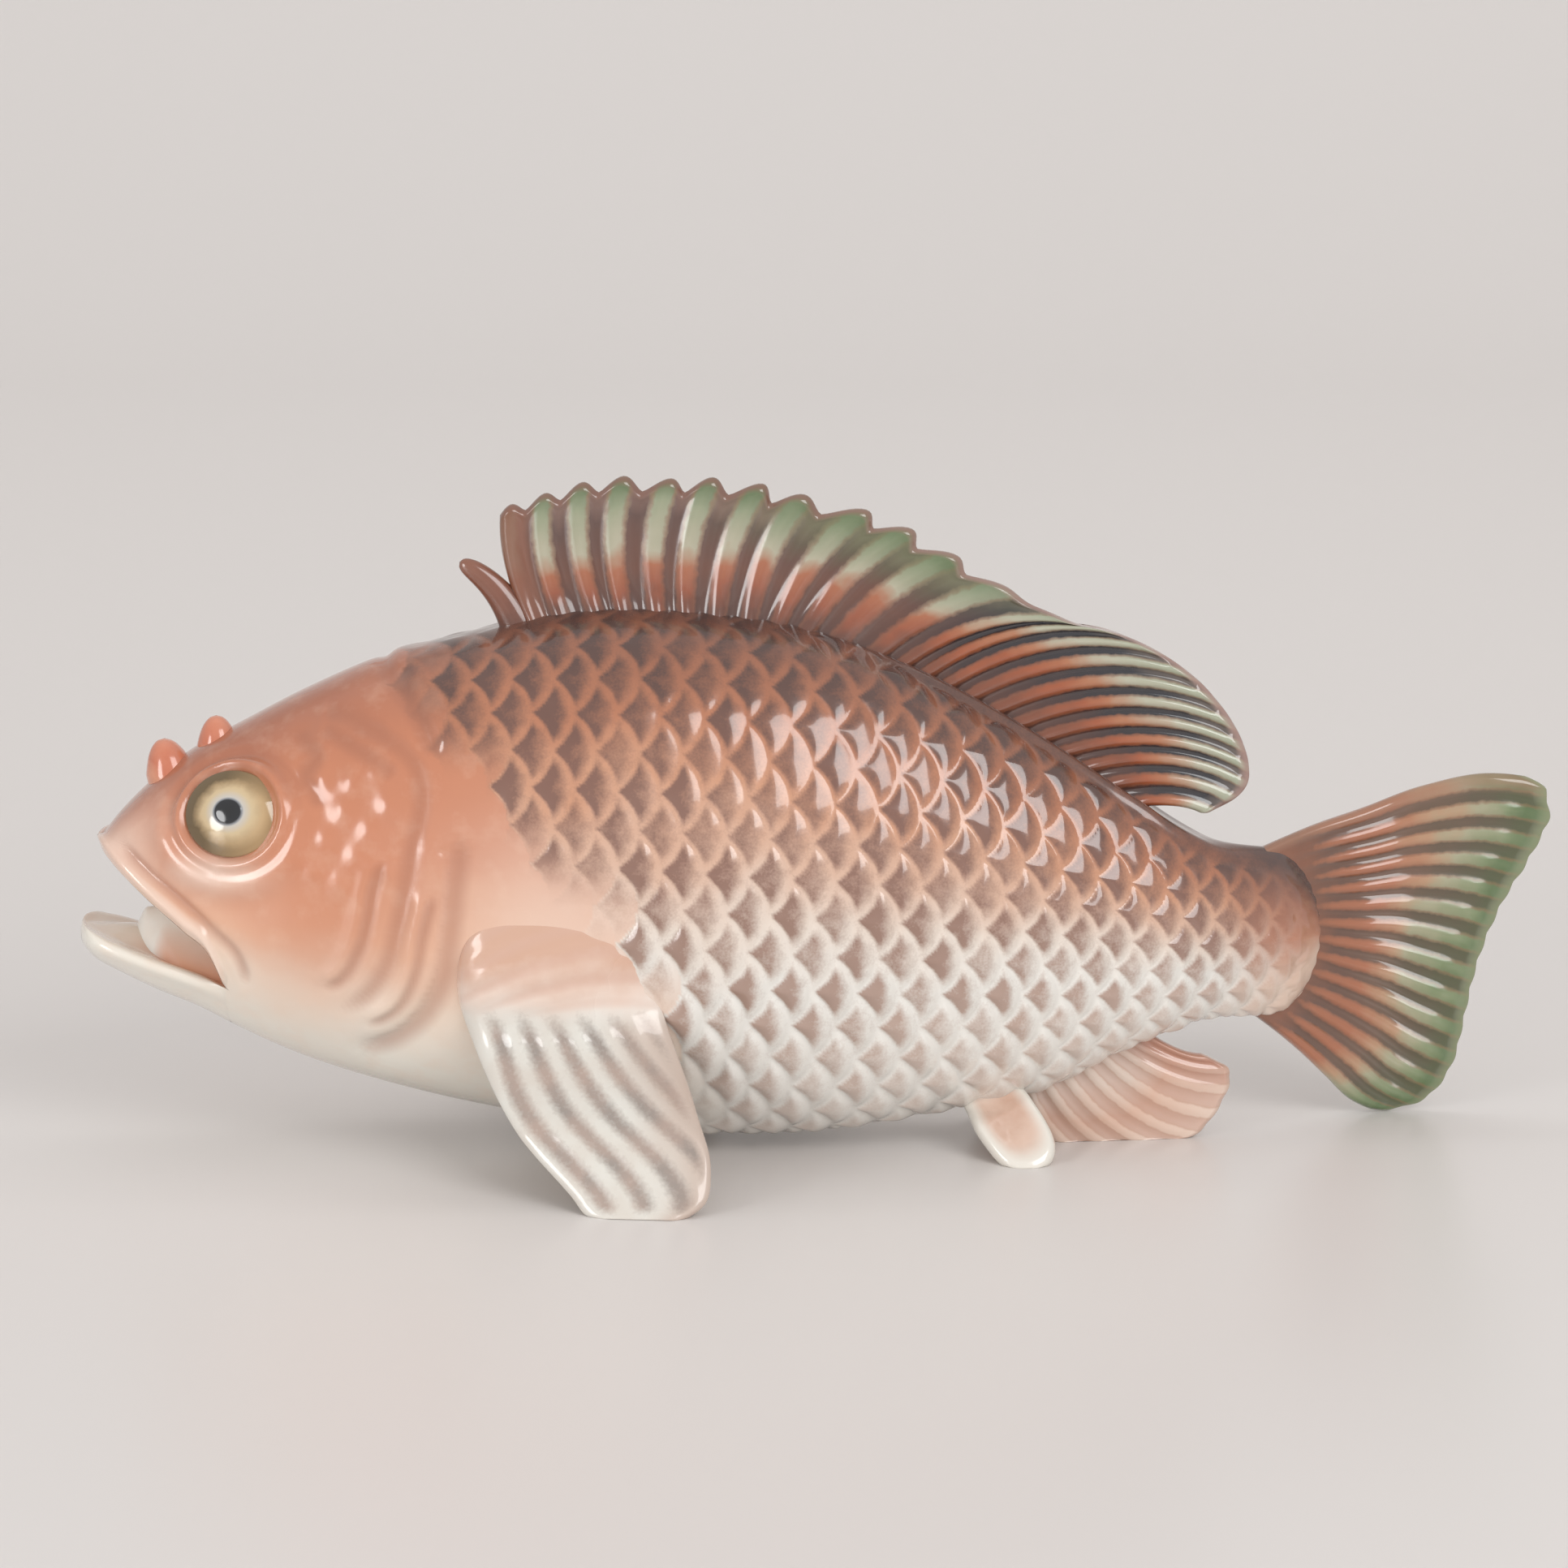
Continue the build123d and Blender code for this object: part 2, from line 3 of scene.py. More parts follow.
import bpy
import numpy as np
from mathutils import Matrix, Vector


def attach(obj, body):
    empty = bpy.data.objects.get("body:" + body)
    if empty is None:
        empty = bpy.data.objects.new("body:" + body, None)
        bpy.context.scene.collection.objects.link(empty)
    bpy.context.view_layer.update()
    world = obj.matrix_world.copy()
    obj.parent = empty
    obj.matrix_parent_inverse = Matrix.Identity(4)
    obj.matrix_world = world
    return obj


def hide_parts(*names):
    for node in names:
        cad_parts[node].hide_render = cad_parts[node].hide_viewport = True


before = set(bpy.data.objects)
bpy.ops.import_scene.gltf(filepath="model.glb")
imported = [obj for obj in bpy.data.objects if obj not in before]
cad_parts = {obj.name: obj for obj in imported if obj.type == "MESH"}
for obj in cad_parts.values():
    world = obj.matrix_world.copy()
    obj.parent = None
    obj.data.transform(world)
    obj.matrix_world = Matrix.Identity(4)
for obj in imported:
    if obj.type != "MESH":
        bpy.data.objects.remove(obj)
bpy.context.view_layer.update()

# All sizes are in millimetres until a mesh is made. x runs from snout to tail, y to the fish's right.
FIN_DECIMALS, SKIN_DECIMALS = 4, 3  # vertices that agree to this many places of a millimetre are joined
MM = 0.001
TINY = 1e-9  # keeps divisions safe where the body closes to a point

# Body: x, top, widest level, bottom, half width of each egg-shaped section
TIP_X = -117.9
BODY_SECTIONS = (
    (TIP_X, 49.3, 49.2, 49.1, 0.0),
    (-117.6, 50.6, 48.6, 46.6, 3.0),
    (-116.4, 52.6, 48.4, 43.4, 6.4),
    (-113.6, 56.0, 47.8, 38.6, 9.6),
    (-108.6, 60.8, 47.0, 30.6, 12.6),
    (-102.0, 65.8, 46.2, 23.4, 15.1),
    (-94.0, 70.2, 46.0, 18.8, 17.4),
    (-84.0, 75.4, 46.6, 14.4, 20.2),
    (-72.0, 80.6, 47.0, 10.5, 22.6),
    (-57.0, 84.8, 46.6, 6.8, 24.4),
    (-40.0, 88.4, 45.6, 3.8, 25.2),
    (-20.0, 88.2, 44.2, 2.0, 24.9),
    (0.0, 84.8, 42.6, 2.4, 23.0),
    (20.0, 76.2, 40.6, 5.6, 19.2),
    (36.0, 67.0, 38.4, 9.0, 15.0),
    (50.0, 57.8, 36.0, 16.0, 10.8),
    (62.0, 50.4, 34.2, 20.0, 7.8),
    (74.0, 47.2, 32.6, 19.2, 5.4),
    (83.0, 45.0, 31.6, 19.6, 3.6),
)
ROUND_X, END_X = 74.0, 82.4  # the trunk's rounded end over the tail fin's root
SWAY_START, SWAY_RUN, SWAY_SIDE = 52.0, 46.0, 18.0  # where the tail's swing starts, its run and its size
SEAM_X, SECOND_SEAM_X = -57.0, 12.0  # where head and trunk meet, and the trunk's two halves
BODY_ROWS, LIP_ROW = 216, 166  # grid rows from back to belly on one side, and the row of the lip
HEAD_COLUMNS, TRUNK_COLUMNS, END_COLUMNS = 150, 330, 18  # grid columns along the fish
CAP_DEPTH = 2.0  # height of the cones that close the skins inside the body

# Mouth
CORNER_X, CORNER_Z = -96.4, 28.6
BEHIND_CORNER = (-92.0, -86.0)  # places where the jaw's outline follows the body
LIP_EDGE = (
    (-118.2, 51.2), (-116.7, 50.2), (-112.5, 46.6), (-108.1, 42.8), (-102.8, 38.4),
    (-98.6, 34.2), (CORNER_X, CORNER_Z),
)
NO_LIP = 99.0  # stands for the distance from the lip where there is none
RIM_FRONT_Z = 37.7  # level of the jaw's rim at its tip
ROOF_DEPTH, TROUGH_DEPTH = 3.5, 0.7  # how far the mouth's roof is arched and the jaw's floor hollowed
MIDDLE_RISE = 2.8  # how far the floor rises again along its middle
RIM_ROLL = 2.2  # radius of the jaw's rounded rim
MOUTH_STEPS = 28  # grid steps across half of the mouth
JAW_TIP_X = -121.2
JAW_SECTIONS = (  # x, centre level, half width, depth below the centre
    (JAW_TIP_X, 35.4, 0.0, 0.5),
    (-120.8, 35.5, 3.4, 2.0),
    (-119.9, 35.8, 6.0, 3.4),
    (-118.4, 36.6, 8.6, 5.6),
    (-114.4, 38.4, 11.8, 9.6),
    (-107.6, 40.2, 14.0, 14.8),
    (-102.0, 43.2, 15.4, 20.2),
)

# Head relief, in side view (x, z)
EYE_CENTRE = np.array((-94.8, -15.4, 58.2))
EYE_NORMAL = np.array((-0.22, -0.90, 0.36))
EYE_RADIUS, EYE_TALL = 7.8, 0.9  # half length, and half height as a share of it
EYE_BALL_RADIUS, EYE_STAND_OUT = 15.0, 1.8
EYE_EDGE = 1.08  # where the eye's grid ends, beyond the dome's edge at 1
EYE_FORWARD = np.array((-1.0, 0.0, 0.35))  # the side of the eye where its brown ring is darkest
EYE_RING, EYE_FOLD, EYE_POUCH = (9.1, 1.1, 1.3), (11.3, 1.0, -0.6), (12.4, 2.6, 1.1)  # radius, width, height
EYE_BED_WALL, EYE_BED_DEPTH = (5.4, 7.4), 2.0  # from which to which radius the bed's wall rises
LIP_GROOVE = (
    (-114.0, 52.8), (-109.3, 48.6), (-103.3, 43.8), (-97.9, 38.7), (-94.7, 35.4),
    (-93.3, 31.6), (-93.6, 28.0),
)
GILL_GROOVE = (
    (-80.1, 73.7), (-74.6, 72.3), (-69.4, 70.4), (-64.9, 66.5), (-64.0, 61.6), (-65.3, 55.0),
    (-66.7, 47.3), (-68.1, 41.0), (-70.0, 34.5), (-74.1, 28.6), (-80.4, 25.1),
)
CHEEK_GROOVE = ((-69.6, 53.2), (-72.0, 46.2), (-72.6, 42.7), (-74.2, 37.1), (-77.4, 31.7), (-81.1, 29.2))
COVER_GROOVE = ((-61.9, 47.8), (-63.0, 43.0), (-63.9, 39.7), (-65.1, 33.7), (-68.5, 26.9), (-74.4, 23.1))
GILL_EDGE = (
    (-59.4, 58.0), (-59.6, 52.0), (-60.4, 45.6), (-61.2, 39.0), (-62.6, 32.0), (-65.9, 26.0),
    (-70.1, 22.3), (-77.7, 19.4),
)
GILL_ROLLS = ((-2.4, 2.8, 0.35), (1.0, 1.8, -0.6), (3.2, 2.6, -0.4))  # place across its edge, width, height
UPPER_LIP_ROLL, LOWER_LIP_ROLL = (1.8, 1.5, 0.85), (-2.2, 1.6, 0.2)  # place from the lip, width, height
NAPE_GROOVE = ((-72.4, 81.6), (-69.2, 78.8), (-66.0, 75.4), (-63.4, 71.4), (-61.8, 67.6))
CROWN_GROOVE = ((-80.4, 73.9), (-76.0, 73.4), (-71.9, 71.9), (-69.3, 71.2))
BROW_GROOVE = ((-80.7, 71.7), (-77.1, 70.2), (-74.2, 68.7), (-71.2, 67.2), (-67.6, 64.7))
TEMPLE_GROOVE = ((-84.0, 71.9), (-83.1, 69.3), (-81.0, 67.4), (-82.9, 64.5), (-80.9, 61.9), (-80.1, 59.0))
HEAD_GROOVES = (  # line, depth, width, height of the ridge beside it and its place in widths
    (GILL_GROOVE, 0.26, 1.4, 0.1, -1.7),
    (CHEEK_GROOVE, 0.40, 1.0, 0.45, -1.7),
    (COVER_GROOVE, 0.45, 0.9, 0.45, -1.7),
    (NAPE_GROOVE, 0.6, 1.4, 0.4, 1.9),
    (CROWN_GROOVE, 0.24, 1.3, 0.0, 0.0),
    (BROW_GROOVE, 0.24, 1.3, 0.0, 0.0),
    (TEMPLE_GROOVE, 0.22, 1.3, 0.0, 0.0),
    (LIP_GROOVE, 0.55, 0.9, 0.0, 0.0),
)
CHEEK_BUMPS = (
    (-79.5, 54.9), (-76.5, 59.6), (-74.6, 52.2), (-81.5, 50.1), (-77.2, 48.2), (-69.2, 60.7),
    (-72.3, 56.5), (-69.6, 50.6), (-79.8, 69.7), (-80.0, 64.6), (-75.2, 64.5), (-71.3, 66.3),
)
BUMP_SIZE, BUMP_HEIGHT = (1.8, 2.3), 0.45
DIMPLE, DIMPLE_SIZE, DIMPLE_DEPTH = (-60.6, 53.8), (0.8, 0.8), 0.35
CHEEK, CHEEK_SIZE = (-80.0, 44.0), (13.0, 14.444)  # the salmon patch on the cheek
SHOULDER, SHOULDER_SIZE = (-42.0, 41.0), (16.0, 16.0)  # the pale patch behind the gill
POUCH_HIGHLIGHT, POUCH_HIGHLIGHT_SIZE = (-98.0, 48.4), (8.32, 3.2)  # painted highlight on the pouch under the eye, over some pale colour of its own

# Scales: spacing along the fish and from row to row, by x
SCALE_FRONT = (  # where scales begin, as x at each level z
    (4.0, -19.0), (19.6, -23.0), (34.0, -28.0), (39.5, -31.8), (47.4, -35.8), (52.6, -42.0),
    (60.2, -48.4), (66.0, -53.0), (71.0, -58.0), (77.0, -62.4), (82.4, -65.6), (90.0, -66.0),
)
SCALE_SPACING = ((-60.0, 6.6), (-20.0, 6.9), (20.0, 6.7), (50.0, 5.6), (84.0, 4.5))
ROW_SPACING = ((-60.0, 5.9), (-20.0, 6.2), (20.0, 5.8), (50.0, 4.7), (84.0, 3.6))
SCALE_HEIGHT, FULL_SPACING = 0.95, 6.9  # height of a scale where they are this far apart
EDGE_CURVE = 2.3  # how round a scale's free edge is
RANDOM_SEED, DICE_SHAPE = 11, (97, 89)  # the table that gives each scale its chance value
LEDGE_WIDTH, LEDGE_RISE = 3.6, 0.9  # the smooth fold along the soft fin's foot
LEDGE_START = (-4.0, 18.0)  # x where the fold begins and where it is full

# All ribbed fins
SIDE_MARGIN = 0.28  # how far a fin goes on past its first and last ray, as a share of a gap
TIP_ROUND = 0.07  # share of a ray's length over which the fin's edge is rounded

# Dorsal fin: foot x, z and tip x, z of each ray
SPINES = (
    (-46.4, 87.4, -50.2, 104.2), (-41.6, 87.8, -44.8, 106.0), (-35.8, 88.0, -38.8, 107.8),
    (-31.4, 88.0, -32.2, 108.8), (-26.0, 87.8, -24.8, 108.4), (-21.4, 87.4, -18.2, 108.6),
    (-16.4, 86.8, -10.4, 107.6), (-11.4, 86.2, -3.8, 105.9), (-7.0, 85.2, 5.8, 103.6),
    (-2.6, 84.2, 13.0, 100.6), (2.4, 82.6, 20.2, 96.4), (8.2, 80.2, 28.2, 91.4),
)
SOFT_RAYS = (
    (12.4, 78.2, 38.6, 86.1), (17.4, 75.6, 48.6, 83.4), (22.2, 73.0, 57.6, 78.0), (27.8, 69.8, 63.2, 72.2),
    (33.0, 66.6, 66.4, 66.8), (38.4, 63.4, 67.6, 62.0), (44.0, 60.0, 66.4, 58.2), (50.6, 56.0, 61.4, 55.2),
)
SPINE_BOW, SOFT_BOW = 0.10, 0.14
SOFT_RAY_COUNT = 11
DORSAL_SCALLOP = ((0, 0.09), (7, 0.13), (10, 0.12), (11, 0.08), (12, 0.0))  # dip of the edge by ray number
DORSAL_SINK = 4.0  # how far the fin's foot goes into the back

# First free spine
SPINE_FOOT, SPINE_BEND, SPINE_TIP = (-49.0, 84.6), (-51.8, 92.6), (-58.8, 96.2)
SPINE_FOOT_RADIUS, SPINE_TIP_RADIUS = 3.1, 1.45

# Tail fin: its outline in side view
TAIL_RAYS = 14
TAIL_ROOT = ((70.0, 46.4), (73.6, 39.0), (74.4, 32.6), (73.6, 26.2), (70.0, 20.8))
TAIL_TOP = (
    (70.0, 46.4), (76.6, 48.4), (89.6, 51.4), (97.5, 54.0), (105.2, 56.0), (113.0, 56.4), (119.6, 55.0),
)
TAIL_TRAILING = (
    (119.6, 55.0), (120.4, 50.6), (118.2, 45.1), (112.6, 35.0), (109.2, 26.0), (107.3, 17.3), (105.2, 8.0),
    (101.0, 2.0), (95.0, 0.2),
)
TAIL_BOTTOM = ((70.0, 20.8), (74.8, 16.9), (80.7, 11.5), (86.6, 5.5), (90.7, 1.8), (95.0, 0.2))
TAIL_STOPS = 6  # points along each ray

# Anal fin: foot x, z and end x, z of each ray
ANAL_RAYS = (
    (34.0, 9.4, 41.0, -1.0), (37.0, 10.4, 48.0, -1.0), (40.4, 11.6, 55.0, -0.8), (43.8, 12.8, 61.0, 0.8),
    (47.0, 14.2, 64.2, 4.4), (49.8, 15.6, 66.2, 8.6), (51.6, 17.0, 66.0, 11.8), (53.0, 18.4, 62.8, 13.8),
)
ANAL_BOW, ANAL_YAW, ANAL_PIVOT_X, ANAL_SINK = -0.12, 6.0, 45.0, 3.5  # the yaw is in degrees

# Pectoral fin with its fleshy root, in a leaning plane (u back, v up); it ends in a flat foot
PECTORAL_HINGE = np.array((-40.0, -24.0, 30.0))
PECTORAL_LEAN, PECTORAL_YAW = 34.0, 5.0  # degrees
LEADING_EDGE = (
    (-11.0, 17.5), (-17.4, 11.4), (-18.8, 1.0), (-15.0, -11.0), (-7.2, -23.4), (1.6, -33.0),
    (4.6, -36.4), (6.0, -37.0),
)
TRAILING_EDGE = (
    (2.0, 16.5), (10.0, 9.0), (13.0, 0.5), (16.4, -9.0), (20.4, -18.5), (23.4, -28.0),
    (22.9, -33.6), (19.0, -37.0),
)
PECTORAL_HALF = (  # half thickness by v
    (-40.0, 1.35), (-24.0, 1.6), (-14.0, 2.2), (-6.0, 3.0), (1.0, 3.5), (6.0, 3.0), (11.0, 1.6),
    (15.0, 0.4), (18.0, 0.1),
)
GROOVE_START, GROOVE_STEP, GROOVE_DRIFT = 0.15, 0.15, -0.10  # of the blade's grooves, as shares of its width
GROOVE_FAN, GROOVE_DEPTH = 1.3, 0.5
BAND_STEP, BAND_SLANT, BAND_HEIGHT = 5.2, 0.35, 0.12  # the faint bands across the root

# Pelvic fin
PELVIC_HINGE = np.array((27.0, -7.2, 9.2))
PELVIC_LEAN, PELVIC_ROOT, PELVIC_LENGTH, PELVIC_WIDTH, PELVIC_RAKE = 44.0, 5.0, 21.0, 11.0, 30.0

# Tongue and horns
TONGUE_TIP_X, TONGUE_END_X, TONGUE_HALF_WIDTH = -112.4, -95.0, 9.0
TONGUE_CREST = ((-113.0, 39.0), (-106.5, 39.4), (-100.0, 37.2), (-94.0, 33.4))  # x, z
HORNS = {
    "snout_horn_front": ((-105.8, 61.4), (-106.9, 67.3), 4.0),
    "snout_horn_rear": ((-98.2, 66.2), (-98.4, 71.1), 3.3),
}
HORN_SINK = 0.75  # how far a horn's foot goes into the head, as a share of its height

# Grid points of the small pieces, along them and round or across them
TONGUE_GRID, EYE_GRID, HORN_GRID, SPINE_GRID = (60, 61), (64, 128), (30, 48), (50, 40)
PELVIC_GRID, PECTORAL_GRID = (40, 90), (120, 84)

# Colours that two glazes share, from 0 to 255
# the mouth's orange; in the jaw's trough and on the tongue's sides it is laid partly as painted shade
MOUTH_COLOUR_AND_SHADE = (206, 142, 106)
ROOT_BROWN = (104, 64, 50)

# Stage, in metres: reach of the sweep to the sides, front and top, and radius of its bend
STAGE_REACH, STAGE_BEND = 3.0, 0.9

# Lights, in metres: place, target, size, watts, outline and whether the glaze mirrors them
MIDDLE = (0.0, 0.0, 0.05)
LIGHTS = {
    "right softbox": ((0.76, -1.04, 0.82), MIDDLE, (0.78, 0.88), 9.0, "RECTANGLE", True),
    "left softbox": ((-1.09, -0.98, 0.36), MIDDLE, (0.50, 0.70), 5.0, "ELLIPSE", True),
    "top softbox": ((0.0, 0.3, 1.35), MIDDLE, (2.0, 1.2), 2.5, "RECTANGLE", False),
    "low front fill": ((-0.2, -1.5, 0.16), MIDDLE, (2.0, 0.28), 5.0, "RECTANGLE", False),
    "wall light": ((0.0, 0.45, 1.5), (0.0, 1.6, 0.7), (2.4, 0.3), 6.6, "RECTANGLE", False),
}
WORLD_STRENGTH = 0.72

# Camera
CAMERA_TARGET = np.array((-6.6, 0.0, 59.7))
CAMERA_DISTANCE, CAMERA_PITCH, CAMERA_LENS, SENSOR_WIDTH = 900.0, 12.0, 127.43, 36.0


# Curves and fields


def smooth(low, high, value):
    """Goes softly from 0 at low to 1 at high."""
    t = np.clip((value - low) / (high - low), 0.0, 1.0)
    return t * t * (3.0 - 2.0 * t)


def hill(distance, width):
    """A round hill of height 1 and the given half width."""
    return np.exp(-((distance / width) ** 2))


def roll(distance, place, width, height):
    """A ridge along a line, or a groove if its height is negative."""
    return height * hill(distance - place, width)


def spot(x, z, centre, size):
    """An oval hill of height 1 at a side-view place."""
    return hill(np.hypot((x - centre[0]) / size[0], (z - centre[1]) / size[1]), 1.0)


def rounded(t):
    """Falls from 1 at t = 0 to 0 at t = 1 along a quarter circle."""
    return np.sqrt(1.0 - np.clip(t, 0.0, 1.0) ** 2)


def turned_grid(rows, columns):
    """Shares from 0 to 1 as one column, and angles round a circle as one row."""
    shares = np.linspace(0.0, 1.0, rows)[:, None]
    return shares, np.linspace(0.0, 2 * np.pi, columns, endpoint=False)[None, :]


def hermite(t, start, end, start_slope, end_slope, span=1.0):
    """A smooth curve over a span, from the values and slopes at its ends."""
    from_values = start * (1 + 2 * t) * (1 - t) ** 2 + end * t * t * (3 - 2 * t)
    from_slopes = start_slope * t * (1 - t) ** 2 - end_slope * t * t * (1 - t)
    return from_values + span * from_slopes


def spline(places, values):
    """A smooth function through given points."""
    places, values = np.asarray(places, float), np.asarray(values, float)
    slopes = np.gradient(values, places)

    def at(x):
        i = np.clip(np.searchsorted(places, x, side="right") - 1, 0, len(places) - 2)
        span = places[i + 1] - places[i]
        return hermite((x - places[i]) / span, values[i], values[i + 1], slopes[i], slopes[i + 1], span)

    return at


def spline_of(pairs):
    return spline(*zip(*pairs))


def arc_lengths(points):
    """Distance along a line of points, from its start."""
    steps = np.linalg.norm(np.diff(points, axis=0), axis=1)
    return np.concatenate([[0.0], np.cumsum(steps)])


def curve(points, count):
    """Evenly spaced points on a smooth curve through given ones."""
    points = np.asarray(points, float)
    along = arc_lengths(points)
    where = np.linspace(0.0, along[-1], count)
    return np.stack([spline(along, column)(where) for column in points.T], axis=-1)


def offset_from(line, x, z):
    """Signed distance from a side-view curve, positive to its left hand, and the share along it."""
    path = curve(line, 70)
    gap_x, gap_z = x[..., None] - path[:, 0], z[..., None] - path[:, 1]
    nearest = np.argmin(gap_x**2 + gap_z**2, axis=-1)
    run = np.gradient(path, axis=0)[nearest]
    dx, dz = x - path[nearest, 0], z - path[nearest, 1]
    side = np.sign(run[..., 0] * dz - run[..., 1] * dx)
    return side * np.hypot(dx, dz), nearest / (len(path) - 1)


def turn(points, axis, degrees):
    """Turns points about the x, y or z axis through the origin, right-handed."""
    angle = np.radians(degrees)
    c, s = np.cos(angle), np.sin(angle)
    a, b = [(1, 2), (2, 0), (0, 1)]["xyz".index(axis)]
    turned = np.array(points, float)
    turned[..., a] = c * points[..., a] - s * points[..., b]
    turned[..., b] = s * points[..., a] + c * points[..., b]
    return turned


def sway(x):
    """How far the fish's middle line swings to its right at x."""
    return SWAY_SIDE * smooth(SWAY_START, SWAY_START + SWAY_RUN, x)


# Meshes


def grid_quads(index, closed=False):
    """Quads over a grid of vertex numbers; closed joins its last column to its first."""
    if closed:
        index = np.concatenate([index, index[:, :1]], axis=1)
    corners = index[:-1, :-1], index[:-1, 1:], index[1:, 1:], index[1:, :-1]
    return np.stack([c.ravel() for c in corners], axis=-1)


def looped(front, back):
    """Rows that run over the front and return over the back, which share their end points."""
    return np.concatenate([front, back[:, -2:0:-1]], axis=1)


def vertex_normals(points, quads):
    """Normals averaged over the faces round each vertex."""
    a, b, c, d = (points[quads[:, k]] for k in range(4))
    face = np.cross(c - a, d - b)
    total = np.zeros_like(points)
    for k in range(4):
        np.add.at(total, quads[:, k], face)
    length = np.linalg.norm(total, axis=1, keepdims=True)
    return total / np.maximum(length, 1e-12)


def facing_out(points, quads):
    """The quads, turned over if their mesh encloses a negative volume."""
    a, b, c, d = (points[quads[:, k]] for k in range(4))
    volume = np.einsum("ij,ij->", a, np.cross(b, c)) + np.einsum("ij,ij->", a, np.cross(c, d))
    return quads if volume > 0 else quads[:, ::-1]


def welded_faces(points, quads, decimals):
    """Joins vertices in the same place and drops what collapses; returns kept vertices and faces."""
    used = np.unique(quads)
    places = np.round(points[used], decimals) + 0.0
    _, first, same = np.unique(places, axis=0, return_index=True, return_inverse=True)
    renumber = np.zeros(len(points), int)
    renumber[used] = same.ravel()
    faces = []
    for face in renumber[quads].tolist():
        corners = [v for k, v in enumerate(face) if v != face[k - 1]]
        if len(set(corners)) == len(corners) > 2:
            faces.append(corners)
    return used[first], faces


def make_piece(name, points, quads, facts, material, node, normals=None):
    """A mesh object from millimetre points, with its per-vertex facts, that stands for a CAD node."""
    kept, faces = welded_faces(points, quads, FIN_DECIMALS if normals is None else SKIN_DECIMALS)
    mesh = bpy.data.meshes.new(name)
    mesh.from_pydata((points[kept] * MM).tolist(), [], faces)
    mesh.polygons.foreach_set("use_smooth", np.ones(len(faces), bool))
    for fact, values in facts.items():
        layer = mesh.attributes.new(fact, "FLOAT", "POINT")
        layer.data.foreach_set("value", np.ascontiguousarray(values[kept], np.float32))
    if normals is not None:
        mesh.normals_split_custom_set_from_vertices(normals[kept].tolist())
    mesh.materials.append(material)
    piece = bpy.data.objects.new(name, mesh)
    bpy.context.collection.objects.link(piece)
    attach(piece, "root")
    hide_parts(node)


def make_shell(name, around, facts, material, node):
    """A piece from rows of points that each run right round it; nothing goes below the floor."""
    shape = around.shape[:2]
    points = around.reshape(-1, 3).copy()
    points[:, 2] = np.maximum(points[:, 2], 0.0)
    quads = grid_quads(np.arange(len(points)).reshape(shape), closed=True)
    quads = facing_out(points - points.mean(axis=0), quads)
    facts = {fact: np.broadcast_to(values, shape).ravel() for fact, values in facts.items()}
    make_piece(name, points, quads, facts, material, node)


# Body


def section_curves(sections):
    """Splines of each section column over the square root of the distance from the tip."""
    table = np.array(sections)
    reach = np.sqrt(table[:, 0] - table[0, 0])
    return [spline(reach, column) for column in table[:, 1:].T]


BODY_CURVES = section_curves(BODY_SECTIONS)


def body_section(x):
    """Top, widest level, bottom and half width of the body at x, with its rounded end."""
    top, wide, bottom, half = (f(np.sqrt(x - TIP_X)) for f in BODY_CURVES)
    ease = rounded((x - ROUND_X) / (END_X - ROUND_X))
    return wide + (top - wide) * ease, wide, wide - (wide - bottom) * ease, half * ease


def lower_half(x):
    """A jaw section that follows the lower half of the body at x."""
    _, wide, bottom, half = body_section(x)
    return x, wide, half, wide - bottom


JAW_CURVES = section_curves(JAW_SECTIONS + tuple(lower_half(x) for x in (CORNER_X, *BEHIND_CORNER)))
lip_level = spline_of(LIP_EDGE)


def rim_level(x):
    share = (CORNER_X - x) / (CORNER_X - JAW_TIP_X)
    return CORNER_Z + (RIM_FRONT_Z - CORNER_Z) * share


def side_profile(x):
    """The left outline of one body section from back to belly, with its arc lengths."""
    angle = np.radians(np.linspace(90.0, -90.0, 241))
    top, wide, bottom, half = body_section(x)
    rise = np.where(angle > 0, top - wide, wide - bottom)
    y, z = -half * np.cos(angle), wide + rise * np.sin(angle)
    return y, z, arc_lengths(np.stack([y, z], axis=-1))


def jaw_profile(x):
    """The left outline of one jaw section from its rolled rim to its keel, with its arc lengths."""
    centre, half, depth = (f(np.sqrt(x - JAW_TIP_X)) for f in JAW_CURVES)
    start = np.arcsin(np.clip((centre - rim_level(x)) / max(depth, 0.1), -0.95, 0.95))
    angle = start + (np.pi / 2 - start) * np.linspace(0.0, 1.0, 400) ** 2
    y, z = -half * np.cos(angle), centre - depth * np.sin(angle)
    along = arc_lengths(np.stack([y, z], axis=-1))
    inset = RIM_ROLL - np.sqrt(RIM_ROLL**2 - np.clip(RIM_ROLL - along, 0.0, RIM_ROLL) ** 2)
    inset *= smooth(JAW_TIP_X + 0.5, JAW_TIP_X + 4.0, x) * smooth(CORNER_X, CORNER_X - 5.0, x)
    return np.minimum(y + inset, 0.0), z, along


def jaw_place(x):
    """The jaw runs a little further forward than the snout, so its columns are stretched."""
    return CORNER_X - (CORNER_X - x) * (CORNER_X - JAW_TIP_X) / (CORNER_X - TIP_X)


